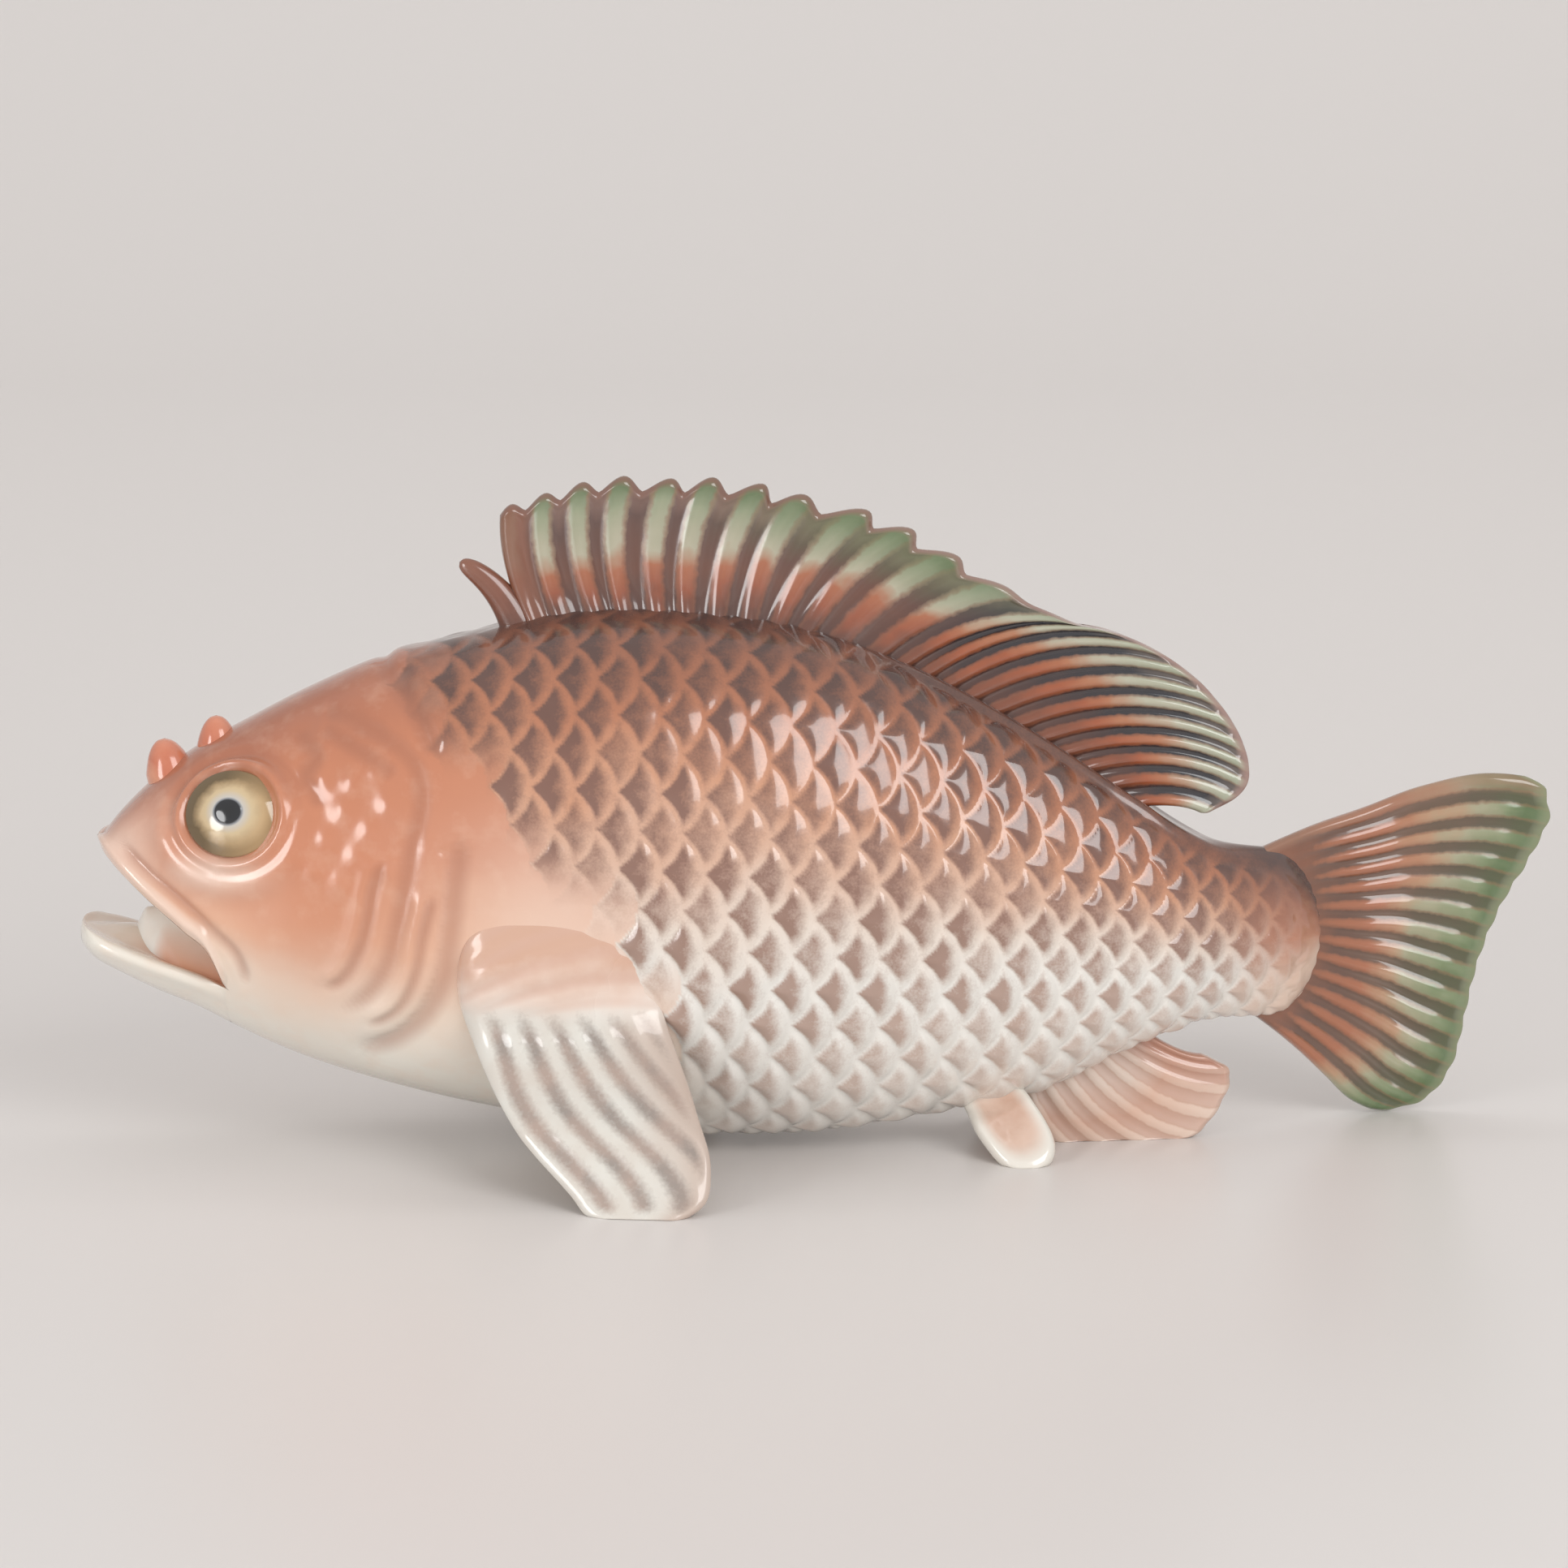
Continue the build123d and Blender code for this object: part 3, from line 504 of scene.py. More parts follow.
class BodyGrid:
    """The smooth left half of the body as columns of points from back to belly."""

    def __init__(self):
        share = np.linspace(0.0, 1.0, HEAD_COLUMNS)
        head = TIP_X + (SEAM_X - TIP_X) * share**1.35
        self.corner = int(np.argmin(np.abs(head - CORNER_X)))
        head[self.corner] = CORNER_X
        trunk = np.linspace(SEAM_X, ROUND_X, TRUNK_COLUMNS)[1:]
        end = ROUND_X + (END_X - ROUND_X) * np.sin(np.linspace(0.0, np.pi / 2, END_COLUMNS))[1:]
        self.columns = np.concatenate([head, trunk, end])
        self.seam = HEAD_COLUMNS - 1
        self.second_seam = int(np.argmin(np.abs(self.columns - SECOND_SEAM_X)))
        shape = (len(self.columns), BODY_ROWS + 1)
        self.x, self.y, self.z, self.arc, self.level = (np.zeros(shape) for _ in range(5))
        self.from_lip = np.full(shape, NO_LIP)
        _, z, along = side_profile(CORNER_X)
        self.corner_share = np.interp(-lip_level(CORNER_X), -z, along) / along[-1]
        for i, x in enumerate(self.columns):
            self.fill_column(i, x)

    def fill_column(self, i, x):
        y, z, along = side_profile(x)
        total, middle = along[-1], along[len(along) // 2]
        split = self.corner_share
        if i < self.corner:
            split = np.interp(-lip_level(x), -z, along) / max(total, TINY)
        upper = np.linspace(0.0, split, LIP_ROW + 1)
        lower = np.linspace(split, 1.0, BODY_ROWS - LIP_ROW + 1)[1:]
        along_rows = np.concatenate([upper, lower]) * total
        self.x[i] = x
        self.y[i], self.z[i] = np.interp(along_rows, along, y), np.interp(along_rows, along, z)
        self.arc[i] = middle - along_rows
        above, below = max(middle, TINY), max(total - middle, TINY)
        self.level[i] = np.where(self.arc[i] > 0, self.arc[i] / above, self.arc[i] / below)
        if i < self.corner:
            self.from_lip[i, : LIP_ROW + 1] = split * total - along_rows[: LIP_ROW + 1]
            self.fill_jaw(i, jaw_place(x))

    def fill_jaw(self, i, jaw_x):
        y, z, along = jaw_profile(jaw_x)
        rows = along[-1] * np.linspace(0.0, 1.0, BODY_ROWS - LIP_ROW + 1)[1:] ** 1.5
        below = slice(LIP_ROW + 1, None)
        self.x[i, below] = jaw_x
        self.y[i, below], self.z[i, below] = np.interp(rows, along, y), np.interp(rows, along, z)
        self.from_lip[i, below] = -rows
        self.level[i, below] = -0.6 - 0.4 * rows / max(along[-1], TINY)

    def rim_points(self):
        """The jaw's rim in front of the mouth's corner: its own row beside the lip's."""
        points = []
        for jaw_x in jaw_place(self.columns[: self.corner]):
            y, z, _ = jaw_profile(jaw_x)
            points.append((jaw_x, y[0], z[0]))
        return np.array(points)


def line_fade(share):
    """Weakens a groove at both of its ends."""
    return smooth(0.0, 0.12, share) * smooth(1.0, 0.86, share)


def eye_relief(x, y, z):
    """Height of the ring, folds and sunken bed round the eye, and the painted shade in the fold above it."""
    up = z - EYE_CENTRE[2]
    out = np.sqrt((x - EYE_CENTRE[0]) ** 2 + (y - EYE_CENTRE[1]) ** 2 + (up / EYE_TALL) ** 2)
    above = smooth(-3.0, 4.0, up - 0.2 * (x - EYE_CENTRE[0]))
    ring, fold, pouch = (roll(out, *form) for form in (EYE_RING, EYE_FOLD, EYE_POUCH))
    bed = EYE_BED_DEPTH * (1 - smooth(*EYE_BED_WALL, out))
    height = ring + above * fold + (1 - above) * pouch * smooth(-78.0, -86.0, x) - bed
    # painted shade: the fold above the eye is darkened as if shade lay in it
    return height, 0.7 * above * hill(out - 10.8, 1.2)


def head_relief(x, y, z, from_lip):
    """Height of the modelling on the head, and how much painted shade darkens its grooves and the hollow
    behind the gill cover's edge.
    """
    height, crease_shade = np.zeros_like(x), np.zeros_like(x)
    for line, depth, width, ridge, ridge_at in HEAD_GROOVES:
        d, share = offset_from(line, x, z)
        fade = line_fade(share)
        height += fade * (ridge * hill(d - ridge_at * width, 1.5 * width) - depth * hill(d, width))
        # painted shade: each groove is darkened as if shade lay in it
        crease_shade = np.maximum(crease_shade, fade * hill(d, 1.25 * width))

    d, share = offset_from(GILL_EDGE, x, z)
    fade = line_fade(share)
    height += fade * sum(roll(d, *form) for form in GILL_ROLLS)
    # painted shadow in the hollow just behind the gill cover's edge
    crease_shade = np.maximum(crease_shade, fade * hill(d - 1.6, 2.0))

    lower_lip = roll(from_lip, *LOWER_LIP_ROLL) * smooth(-121.0, -118.5, x)
    height += np.where(from_lip >= 0, roll(from_lip, *UPPER_LIP_ROLL), lower_lip)
    for bump in CHEEK_BUMPS:
        height += BUMP_HEIGHT * spot(x, z, bump, BUMP_SIZE)
    height -= DIMPLE_DEPTH * spot(x, z, DIMPLE, DIMPLE_SIZE)
    round_eye, eye_crease_shade = eye_relief(x, y, z)
    return height + round_eye, np.maximum(crease_shade, eye_crease_shade)


def scale_edge(b):
    """Place of a scale's free edge at b rows from its middle, where it reaches furthest back."""
    return -0.5 * np.abs(b) ** EDGE_CURVE


def nearest_scale(s, t):
    """The scale that lies on top at lattice place s along the fish and t across it: its place and row."""
    best_s, best_row = np.full(s.shape, np.inf), np.zeros(s.shape)
    for row in (np.floor(t), np.floor(t) + 1.0):
        half_step = 0.5 * np.mod(row, 2.0)
        centre = np.ceil(s - scale_edge(t - row) - half_step) + half_step
        nearer = centre < best_s
        best_s = np.where(nearer, centre, best_s)
        best_row = np.where(nearer, row, best_row)
    return best_s, best_row


def quarter_wave(rise):
    return np.sin(np.pi / 2 * np.clip(rise, 0.0, 1.0))


def scale_field(x, z, arc, level):
    """Overlapping scales: their height, the dark patch on each with painted shade at its buried edge, a
    chance value and where they are.
    """
    spacing = spline_of(SCALE_SPACING)
    ticks = np.linspace(-125.0, 90.0, 800)
    count = np.concatenate([[0.0], np.cumsum(np.diff(ticks) / spacing(ticks[1:]))])
    s = np.interp(x, ticks, count)
    t = arc / spline_of(ROW_SPACING)(x)
    best_s, best_row = nearest_scale(s, t)
    b = t - best_row
    to_edge = best_s + scale_edge(b) - s
    width = 0.5 + 0.5 * (1.0 - np.minimum(np.abs(b), 1.0)) ** EDGE_CURVE + scale_edge(b)
    share = np.clip(to_edge / np.maximum(width, 0.03), 0.0, 1.0)
    slant = 0.5 * EDGE_CURVE * np.abs(b) ** (EDGE_CURVE - 1.0)
    near = to_edge / np.hypot(1.0, slant)

    dice = np.random.default_rng(RANDOM_SEED).random(DICE_SHAPE)
    chance = dice[np.mod(2 * best_s, DICE_SHAPE[0]).astype(int), np.mod(best_row, DICE_SHAPE[1]).astype(int)]
    front = spline_of(SCALE_FRONT)(np.clip(z, SCALE_FRONT[0][0], SCALE_FRONT[-1][0]))
    zone = smooth(-4.0, 6.0, np.interp(best_s, count, ticks) - front + 6.0 * (chance - 0.5))
    from_back = arc[:, :1] - arc
    ledge = smooth(*LEDGE_START, x)
    present = zone * smooth(81.0, 77.0, x)
    present *= smooth(-0.97, -0.86, level) * smooth(0.8, 2.6, from_back - LEDGE_WIDTH * ledge)

    lift = quarter_wave((1.0 - share) / 0.65) * quarter_wave(near / 0.5) * (0.85 + 0.3 * chance)
    bold = 1.0 - (0.75 - 0.3 * smooth(-8.0, 14.0, x)) * smooth(-0.15, 0.45, level)
    height = SCALE_HEIGHT * bold * present * lift * spacing(x) / FULL_SPACING
    height += LEDGE_RISE * ledge * smooth(70.0, 58.0, x) * hill(from_back - LEDGE_WIDTH + 0.6, 1.5)
    rim = 0.07 + 0.12 * smooth(0.3, -0.4, level)
    patch_and_shade = smooth(rim - 0.10, rim + 0.24, near) * smooth(0.0, 0.14, width - to_edge)
    # partly painted shade: each patch is darkest at its buried edge, under the rim of the scale in front
    patch_and_shade *= 0.6 + 0.4 * smooth(0.15, 0.75, share)
    patch_and_shade = present * patch_and_shade + (1 - present) * np.where(level > 0, 0.62, 0.1)
    return height, patch_and_shade, chance, zone


class BodySkin:
    """Head, lower jaw and trunk as one continuous surface, lined inside the mouth."""

    def __init__(self, grid):
        self.grid = grid
        self.points = np.zeros((0, 3))
        x, z = looped(grid.x, grid.x), looped(grid.z, grid.z)
        y = looped(grid.y, -grid.y) + sway(x)
        self.outside = self.add(np.stack([x, y, z], axis=-1))
        self.ahead = self.outside[: grid.corner + 1]  # the columns that the mouth opens
        self.line_mouth()
        self.cut()

    def add(self, points):
        """Appends points and returns their numbers in the same layout."""
        first = len(self.points)
        self.points = np.concatenate([self.points, points.reshape(-1, 3)])
        return first + np.arange(points[..., 0].size).reshape(points.shape[:-1])

    def line_mouth(self):
        """The roof between the lips and the floor between the jaw's two rims."""
        rim = self.grid.rim_points()
        rims = self.add(np.stack([rim, rim * (1, -1, 1)]))
        left_lip, right_lip = self.ahead[:, LIP_ROW], self.ahead[:, -LIP_ROW]
        left_rim, right_rim = np.append(rims[0], left_lip[-1]), np.append(rims[1], right_lip[-1])
        lip, rim = self.points[left_lip], self.points[left_rim]
        head_room = np.maximum(self.points[self.ahead[:, 0], 2] - lip[:, 2], 0.0)
        jaw_room = np.maximum(rim[:, 2] - self.points[self.ahead[:, BODY_ROWS], 2], 0.0)
        side = np.linspace(-1.0, 1.0, 2 * MOUTH_STEPS + 1)[1:-1]

        def across(edge, rise):
            """A surface from the left edge of the mouth to the right one, raised by the given heights."""
            x, y, z = edge.T[..., None]
            return np.stack(np.broadcast_arrays(x, y * -side, z + rise), axis=-1)

        roof = across(lip, np.minimum(ROOF_DEPTH, 0.45 * head_room)[:, None] * (1.0 - side**4))
        self.from_rim = np.abs(rim[:, 1:2]) * (1.0 - np.abs(side))
        hollow = np.minimum(TROUGH_DEPTH, 0.5 * jaw_room)[:, None] * smooth(0.0, 4.5, self.from_rim)
        middle = smooth(1.5, 9.0, self.from_rim) * smooth(-121.0, -111.0, rim[:, :1])
        floor = across(rim, MIDDLE_RISE * middle - hollow)
        self.roof = np.column_stack([left_lip, self.add(roof), right_lip])
        self.floor = np.column_stack([left_rim, self.add(floor), right_rim])

    def cap(self, loop, shift):
        """Closes a cut edge inside the body with a shallow cone, towards the tail if shift is positive."""
        middle = np.full(len(loop), self.add(self.points[loop].mean(axis=0) + (shift, 0.0, 0.0)))
        quads = np.stack([np.roll(loop, -1), loop, middle, middle], axis=-1)
        return quads if shift > 0 else quads[:, ::-1]

    def cut(self):
        """The quads of each skin, with its hidden ends closed, and those of the surface as a whole."""
        corner, seam, second = self.grid.corner, self.grid.seam, self.grid.second_seam
        outside, ahead = self.outside, self.ahead
        over = np.column_stack([ahead[:, -LIP_ROW:], ahead[:, : LIP_ROW + 1]])
        under = np.column_stack([self.floor[:, 0], ahead[:, LIP_ROW + 1 : -LIP_ROW], self.floor[:, -1]])
        head = np.concatenate([
            grid_quads(over),
            grid_quads(outside[corner : seam + 1], closed=True),
            grid_quads(self.roof),
            grid_quads(np.stack([self.roof[-1], self.floor[-1]])),
        ])
        jaw = np.concatenate([grid_quads(under), grid_quads(self.floor)[:, ::-1]])
        front = grid_quads(outside[seam : second + 1], closed=True)
        rear = grid_quads(outside[second:], closed=True)
        self.whole = np.concatenate([head, jaw, front, rear])
        throat = looped(under[-1:], self.floor[-1:])[0]
        neck, waist = outside[seam], outside[second]
        self.head = np.concatenate([head, self.cap(throat, CAP_DEPTH), self.cap(neck, -CAP_DEPTH)])
        self.jaw = np.concatenate([jaw, self.cap(throat, -CAP_DEPTH)])
        self.front = np.concatenate([front, self.cap(neck, CAP_DEPTH), self.cap(waist, -CAP_DEPTH)])
        self.rear = np.concatenate([rear, self.cap(waist, CAP_DEPTH)])

    def everywhere(self, half, elsewhere=0.0):
        """A field of the left half on every point, the same on both sides."""
        values = np.full(len(self.points), elsewhere)
        values[self.outside] = looped(half, half)
        return values

    def emboss(self, height):
        """Moves the outside along its normals."""
        push = self.everywhere(height)[:, None]
        self.points = self.points + vertex_normals(self.points, self.whole) * push

    def mouth_colour_and_shade(self):
        """How far the mouth's inside takes its orange colour, which in the trough beside the jaw's rim and
        towards the corner is partly painted shade.
        """
        inside = np.zeros(len(self.points))
        inside[self.roof[:, 1:-1]] = 0.3
        floor = self.floor[:, 1:-1]
        # partly painted shade: a band in the trough beside the rim, deepening towards the mouth's corner
        groove = smooth(0.3, 2.0, self.from_rim) * smooth(8.0, 4.0, self.from_rim)
        inside[floor] = 0.9 * smooth(-116.0, -103.0, self.points[floor, 0]) * groove
        return inside


def pale_and_highlit_places(grid):
    """Where the head is pale: the lip, the snout and a patch behind the gill; on the pouch under the eye the
    paleness is partly a painted highlight.
    """
    upper = grid.from_lip >= 0
    lip = np.where(upper, 1 - smooth(2.4, 4.2, grid.from_lip), 0.0)
    snout = upper * smooth(-100.0, -116.0, grid.x) * smooth(0.9, 0.2, grid.level)
    shoulder = 0.85 * spot(grid.x, grid.z, SHOULDER, SHOULDER_SIZE)
    # painted highlight on the pouch under the eye, as well as its own paler colour
    pouch = 0.95 * spot(grid.x, grid.z, POUCH_HIGHLIGHT, POUCH_HIGHLIGHT_SIZE)
    return np.maximum.reduce([lip, snout, shoulder, pouch])


def make_body(material):
    """The skins of the head, the lower jaw and both halves of the trunk."""
    grid = BodyGrid()
    skin = BodySkin(grid)
    modelling, crease_shade = head_relief(grid.x, grid.y, grid.z, grid.from_lip)
    scales, patch_and_shade, chance, zone = scale_field(grid.x, grid.z, grid.arc, grid.level)
    skin.emboss(modelling * smooth(-40.0, -52.0, grid.x) + scales)
    facts = {
        "level": skin.everywhere(grid.level, -0.5),
        "patch_and_shade": skin.everywhere(patch_and_shade),
        "chance": skin.everywhere(chance),
        "scaled": skin.everywhere(zone),
        "crease_shade": skin.everywhere(crease_shade),
        "pale": skin.everywhere(pale_and_highlit_places(grid)),
        "cheek": skin.everywhere(spot(grid.x, grid.z, CHEEK, CHEEK_SIZE)),
        "inside": skin.mouth_colour_and_shade(),
        "tail_end": skin.everywhere(smooth(62.0, 79.0, grid.x)),
    }
    normals = vertex_normals(skin.points, skin.whole)
    for name, quads, slot, node in (
        ("head_skin", skin.head, "body_glaze", "body_shell"),
        ("lower_jaw_skin", skin.jaw, "white_glaze", "lower_jaw"),
        ("front_trunk_skin", skin.front, "body_glaze", "body_shell"),
        ("rear_trunk_skin", skin.rear, "body_glaze", "body_shell"),
    ):
        make_piece(name, skin.points, quads, facts, material, node, normals)


# Small pieces of the head


def make_tongue(material):
    """An arched pad that fills the jaw's trough, with a rounded tip."""
    along = np.linspace(0.0, 1.0, TONGUE_GRID[0])[:, None] ** 1.5
    side = np.linspace(-1.0, 1.0, TONGUE_GRID[1])[None, :]
    x = TONGUE_TIP_X + (TONGUE_END_X - TONGUE_TIP_X) * along + 0.0 * side
    y = side * TONGUE_HALF_WIDTH * rounded(1.0 - along / 0.6)
    floor = rim_level(x) - TROUGH_DEPTH
    rise = (spline_of(TONGUE_CREST)(x) - floor) * smooth(-0.08, 0.12, along)
    top = np.stack([x, y, floor + rise * np.cos(np.pi / 2 * side)], axis=-1)
    bottom = np.stack([x, y, floor - 1.5 * (1.0 - side**2)], axis=-1)
    around = looped(top, bottom)
    back = around[-1:].mean(axis=1, keepdims=True) + 0.0 * around[-1:]
    edge = np.abs(side) * smooth(0.05, 0.35, along)
    edge = looped(edge, edge)
    facts = {"edge": np.concatenate([edge, edge[-1:]])}
    make_shell("tongue_form", np.concatenate([around, back]), facts, material, "tongue")


def make_eye(side, material):
    """A domed eye with a hidden edge; side is -1 on the fish's left and 1 on its right."""
    node = "eye_left" if side < 0 else "eye_right"
    share, angle = turned_grid(*EYE_GRID)
    angle = angle[..., None]
    out = EYE_EDGE * share  # the dome ends at 1, and the hidden edge runs inwards beyond it
    radius = EYE_RADIUS * np.minimum(out, 1.0) * (share < 1.0)
    dome = EYE_STAND_OUT - EYE_BALL_RADIUS + np.sqrt(EYE_BALL_RADIUS**2 - radius**2)
    pupil_rise = 0.16 * (1 - smooth(1.9, 2.6, radius))
    height = dome + pupil_rise - 3.0 * np.maximum(out - 1.0, 0.0) / (EYE_EDGE - 1.0)
    normal = EYE_NORMAL / np.linalg.norm(EYE_NORMAL)
    level = np.cross((0.0, 0.0, 1.0), normal)
    level /= np.linalg.norm(level)
    tall = EYE_TALL * np.cross(normal, level)
    flat = radius[..., None] * (np.cos(angle) * level + np.sin(angle) * tall)
    around = (EYE_CENTRE + flat + height[..., None] * normal) * (1, -side, 1)
    facts = {"radius": radius, "forward": flat @ EYE_FORWARD / EYE_RADIUS}
    make_shell(node + "_glazed", around, facts, material, node)


def make_horn(node, material):
    """A blunt horn with a flared foot and a rounded tip."""
    (foot_x, foot_z), (tip_x, tip_z), radius = HORNS[node]
    foot, tip = np.array((foot_x, 0.0, foot_z)), np.array((tip_x, 0.0, tip_z))
    foot = foot - HORN_SINK * (tip - foot)
    t, angle = turned_grid(*HORN_GRID)
    out = np.clip(t * (1.0 + HORN_SINK) - HORN_SINK, 0.0, 1.0)
    size = radius * (0.6 + 0.45 * (1 - out)) * np.sqrt(1 - out**4) * (t > 0)
    spread = np.stack([size * np.cos(angle), size * np.sin(angle), 0.0 * size * angle], axis=-1)
    around = foot + t[..., None] * (tip - foot) + spread
    make_shell(node + "_form", around, {"reach": t}, material, node)


# Fins


def bowed(foot, tip, bow):
    """Foot, middle and tip of a ray that bows to its left hand by a share of its length."""
    foot, tip = np.array(foot), np.array(tip)
    along = tip - foot
    return np.array([foot, (foot + tip) / 2 + bow * np.array((-along[1], along[0])), tip])


def bowed_rays(ends, bow, at_foot, at_tip):
    """Bowed rays from foot x, z and tip x, z, with both ends moved outwards along the chord."""
    rays = np.array([bowed(end[:2], end[2:], bow) for end in ends])
    along = rays[:, 2] - rays[:, 0]
    along /= np.linalg.norm(along, axis=1, keepdims=True)
    rays[:, 0] -= at_foot * along
    rays[:, 2] += at_tip * along
    return rays


def stops_at(rays, where):
    """Stop by stop, both coordinates of the fan at ray numbers that may lie between two rays."""
    number = np.arange(len(rays))
    stops = range(rays.shape[1])
    return np.array([[spline(number, rays[:, k, c])(where) for c in range(2)] for k in stops])


def ray_sheet(rays, gap_steps, ray_steps, scallop):
    """Grid over a fan of rays: plane positions, ray number, reach, ridge and rounding of the sides."""
    count, stops = rays.shape[:2]
    inner = np.linspace(0.0, count - 1.0, (count - 1) * gap_steps + 1)
    beyond = SIDE_MARGIN * np.sin(np.linspace(0.0, np.pi / 2, 6))[1:]
    p = np.concatenate([-beyond[::-1], inner, count - 1.0 + beyond])
    q = np.sin(np.linspace(0.0, np.pi / 2, ray_steps + 1))
    through = stops_at(rays, p)
    slopes = np.gradient(through, axis=0, edge_order=2)
    ridge = 0.5 + 0.5 * np.cos(2 * np.pi * p)
    over = np.clip(np.maximum(-p, p - (count - 1.0)) / SIDE_MARGIN, 0.0, 1.0)
    dip = np.interp(p, np.arange(count), np.broadcast_to(scallop, (count,)))
    dip = dip * (1 - np.where(over > 0, 1.0, ridge**0.7)) + 0.07 * over**2
    reach = q[None, :] * (1 - dip)[:, None]
    leg = np.clip((reach * (stops - 1)).astype(int), 0, stops - 2)
    t, line = reach * (stops - 1) - leg, np.arange(len(p))[:, None]
    ends = leg, leg + 1
    u, v = (
        hermite(t, *(through[end, c, line] for end in ends), *(slopes[end, c, line] for end in ends))
        for c in range(2)
    )
    return u, v, p, q, ridge, rounded(over)


def make_fin(name, rays, place, material, node, web=0.8, ridge_half=1.55, scallop=0.06,
             gap_steps=12, ray_steps=46, flare=0.8, rim=0.35, edge_fade=0.0, ribs_from=-0.2, ribs_full=-0.1):
    """A ribbed fin: two facing sheets that meet at its edges, thicker on the rays and at the foot."""
    u, v, p, q, ridge, side_round = ray_sheet(rays, gap_steps, ray_steps, scallop)
    last = len(rays) - 1
    ridge = np.where((p < 0) | (p > last), 1.0, ridge)[:, None] * smooth(ribs_from, ribs_full, q)
    fade = (1.2 - 0.45 * q) * (1.0 - edge_fade * smooth(0.84, 1.0, q))
    half = web + (ridge_half - web) * ridge * fade
    half = half + flare * hill(q, 0.16) + rim * hill(q - 0.955, 0.035) * (1 - 0.6 * ridge)
    half = half * rounded((q - 1.0 + TIP_ROUND) / TIP_ROUND) * side_round[:, None]

    def both(front, back):
        return np.concatenate([front, back[:, -2::-1]], axis=1)

    across = np.clip(p / last, 0.0, 1.0)[:, None]
    facts = {"ridge": both(ridge, ridge), "reach": both(q[None, :], q[None, :]), "across": across}
    make_shell(name, both(place(u, v, -half), place(u, v, half)), facts, material, node)


def upright(u, v, offset):
    """Fin plane to fish: the fish's plane of symmetry, thickness along y."""
    return np.stack([u, offset, v], axis=-1)


def swaying(u, v, offset):
    """Fin plane to fish along the swing of the tail, thickness square to it."""
    slope = sway(u + 0.5) - sway(u - 0.5)
    length = np.hypot(1.0, slope)
    return np.stack([u - offset * slope / length, sway(u) + offset / length, v], axis=-1)


def yawed(u, v, offset):
    """Fin plane to fish for the anal fin, turned a little about an upright line."""
    flat = np.stack([u - ANAL_PIVOT_X, offset, v], axis=-1)
    return turn(flat, "z", ANAL_YAW) + (ANAL_PIVOT_X, 0.0, 0.0)


def make_dorsal(material):
    spines = bowed_rays(SPINES, SPINE_BOW, DORSAL_SINK, 1.4)
    soft = bowed_rays(SOFT_RAYS, SOFT_BOW, DORSAL_SINK, 1.2)
    soft = np.moveaxis(stops_at(soft, np.linspace(0.0, len(soft) - 1.0, SOFT_RAY_COUNT)), -1, 0)
    rays = np.concatenate([spines, soft])
    scallop = np.interp(np.arange(len(rays)), *zip(*DORSAL_SCALLOP))
    make_fin("dorsal_fin_sheet", rays, upright, material, "dorsal_fin",
             web=0.7, ridge_half=1.65, scallop=scallop, gap_steps=14, ray_steps=56, flare=1.5)


def blended_rays(root, top, trailing, bottom, count, stops):
    """Rays over a patch between four edge curves, from the root to the trailing edge."""
    share, reach = np.linspace(0.0, 1.0, count)[:, None, None], np.linspace(0.0, 1.0, stops)[None, :, None]
    root, trailing = curve(root, count)[:, None], curve(trailing, count)[:, None]
    top, bottom = curve(top, stops)[None], curve(bottom, stops)[None]
    along = (1 - share) * top + share * bottom + (1 - reach) * root + reach * trailing
    corners = (1 - reach) * ((1 - share) * root[0] + share * root[-1])
    corners = corners + reach * ((1 - share) * trailing[0] + share * trailing[-1])
    return along - corners


def make_tail(material):
    rays = blended_rays(TAIL_ROOT, TAIL_TOP, TAIL_TRAILING, TAIL_BOTTOM, TAIL_RAYS, TAIL_STOPS)
    make_fin("tail_fin_sheet", rays, swaying, material, "tail_fin",
             web=0.75, ridge_half=1.45, scallop=0.008, gap_steps=14, ray_steps=56, flare=0.5,
             edge_fade=0.85, rim=0.15, ribs_from=0.05, ribs_full=0.36)


def make_anal(material):
    rays = bowed_rays(ANAL_RAYS, ANAL_BOW, ANAL_SINK, 0.6)
    make_fin("anal_fin_sheet", rays, yawed, material, "anal_fin",
             web=0.95, ridge_half=1.35, scallop=0.015, edge_fade=0.6, rim=0.2)


def on_leaning_plane(u, v, hinge, lean, yaw=0.0):
    """Points of a plane that leans out from a hinge on the left side; u runs back and v up."""
    flat = np.stack([u, v, 0.0 * u], axis=-1)
    return turn(turn(flat, "x", 90.0 - lean), "z", -yaw) + hinge


def facing(lean):
    """The way that a leaning plane faces, out from the left side."""
    angle = np.radians(90.0 - lean)
    return np.array((0.0, -np.sin(angle), np.cos(angle)))


def flank_y(x, z):
    """How far out the left flank lies at a side-view place."""
    top, wide, bottom, half = body_section(x)
    rise = np.where(z > wide, top - wide, wide - bottom)
    return -half * np.sqrt(np.clip(1.0 - ((z - wide) / rise) ** 2, 0.0, 1.0))


def pull_to_flank(points, share, inset):
    """Moves points sideways by a share of their way to the left flank."""
    points[..., 1] += share * (flank_y(points[..., 0], points[..., 2]) + inset - points[..., 1])


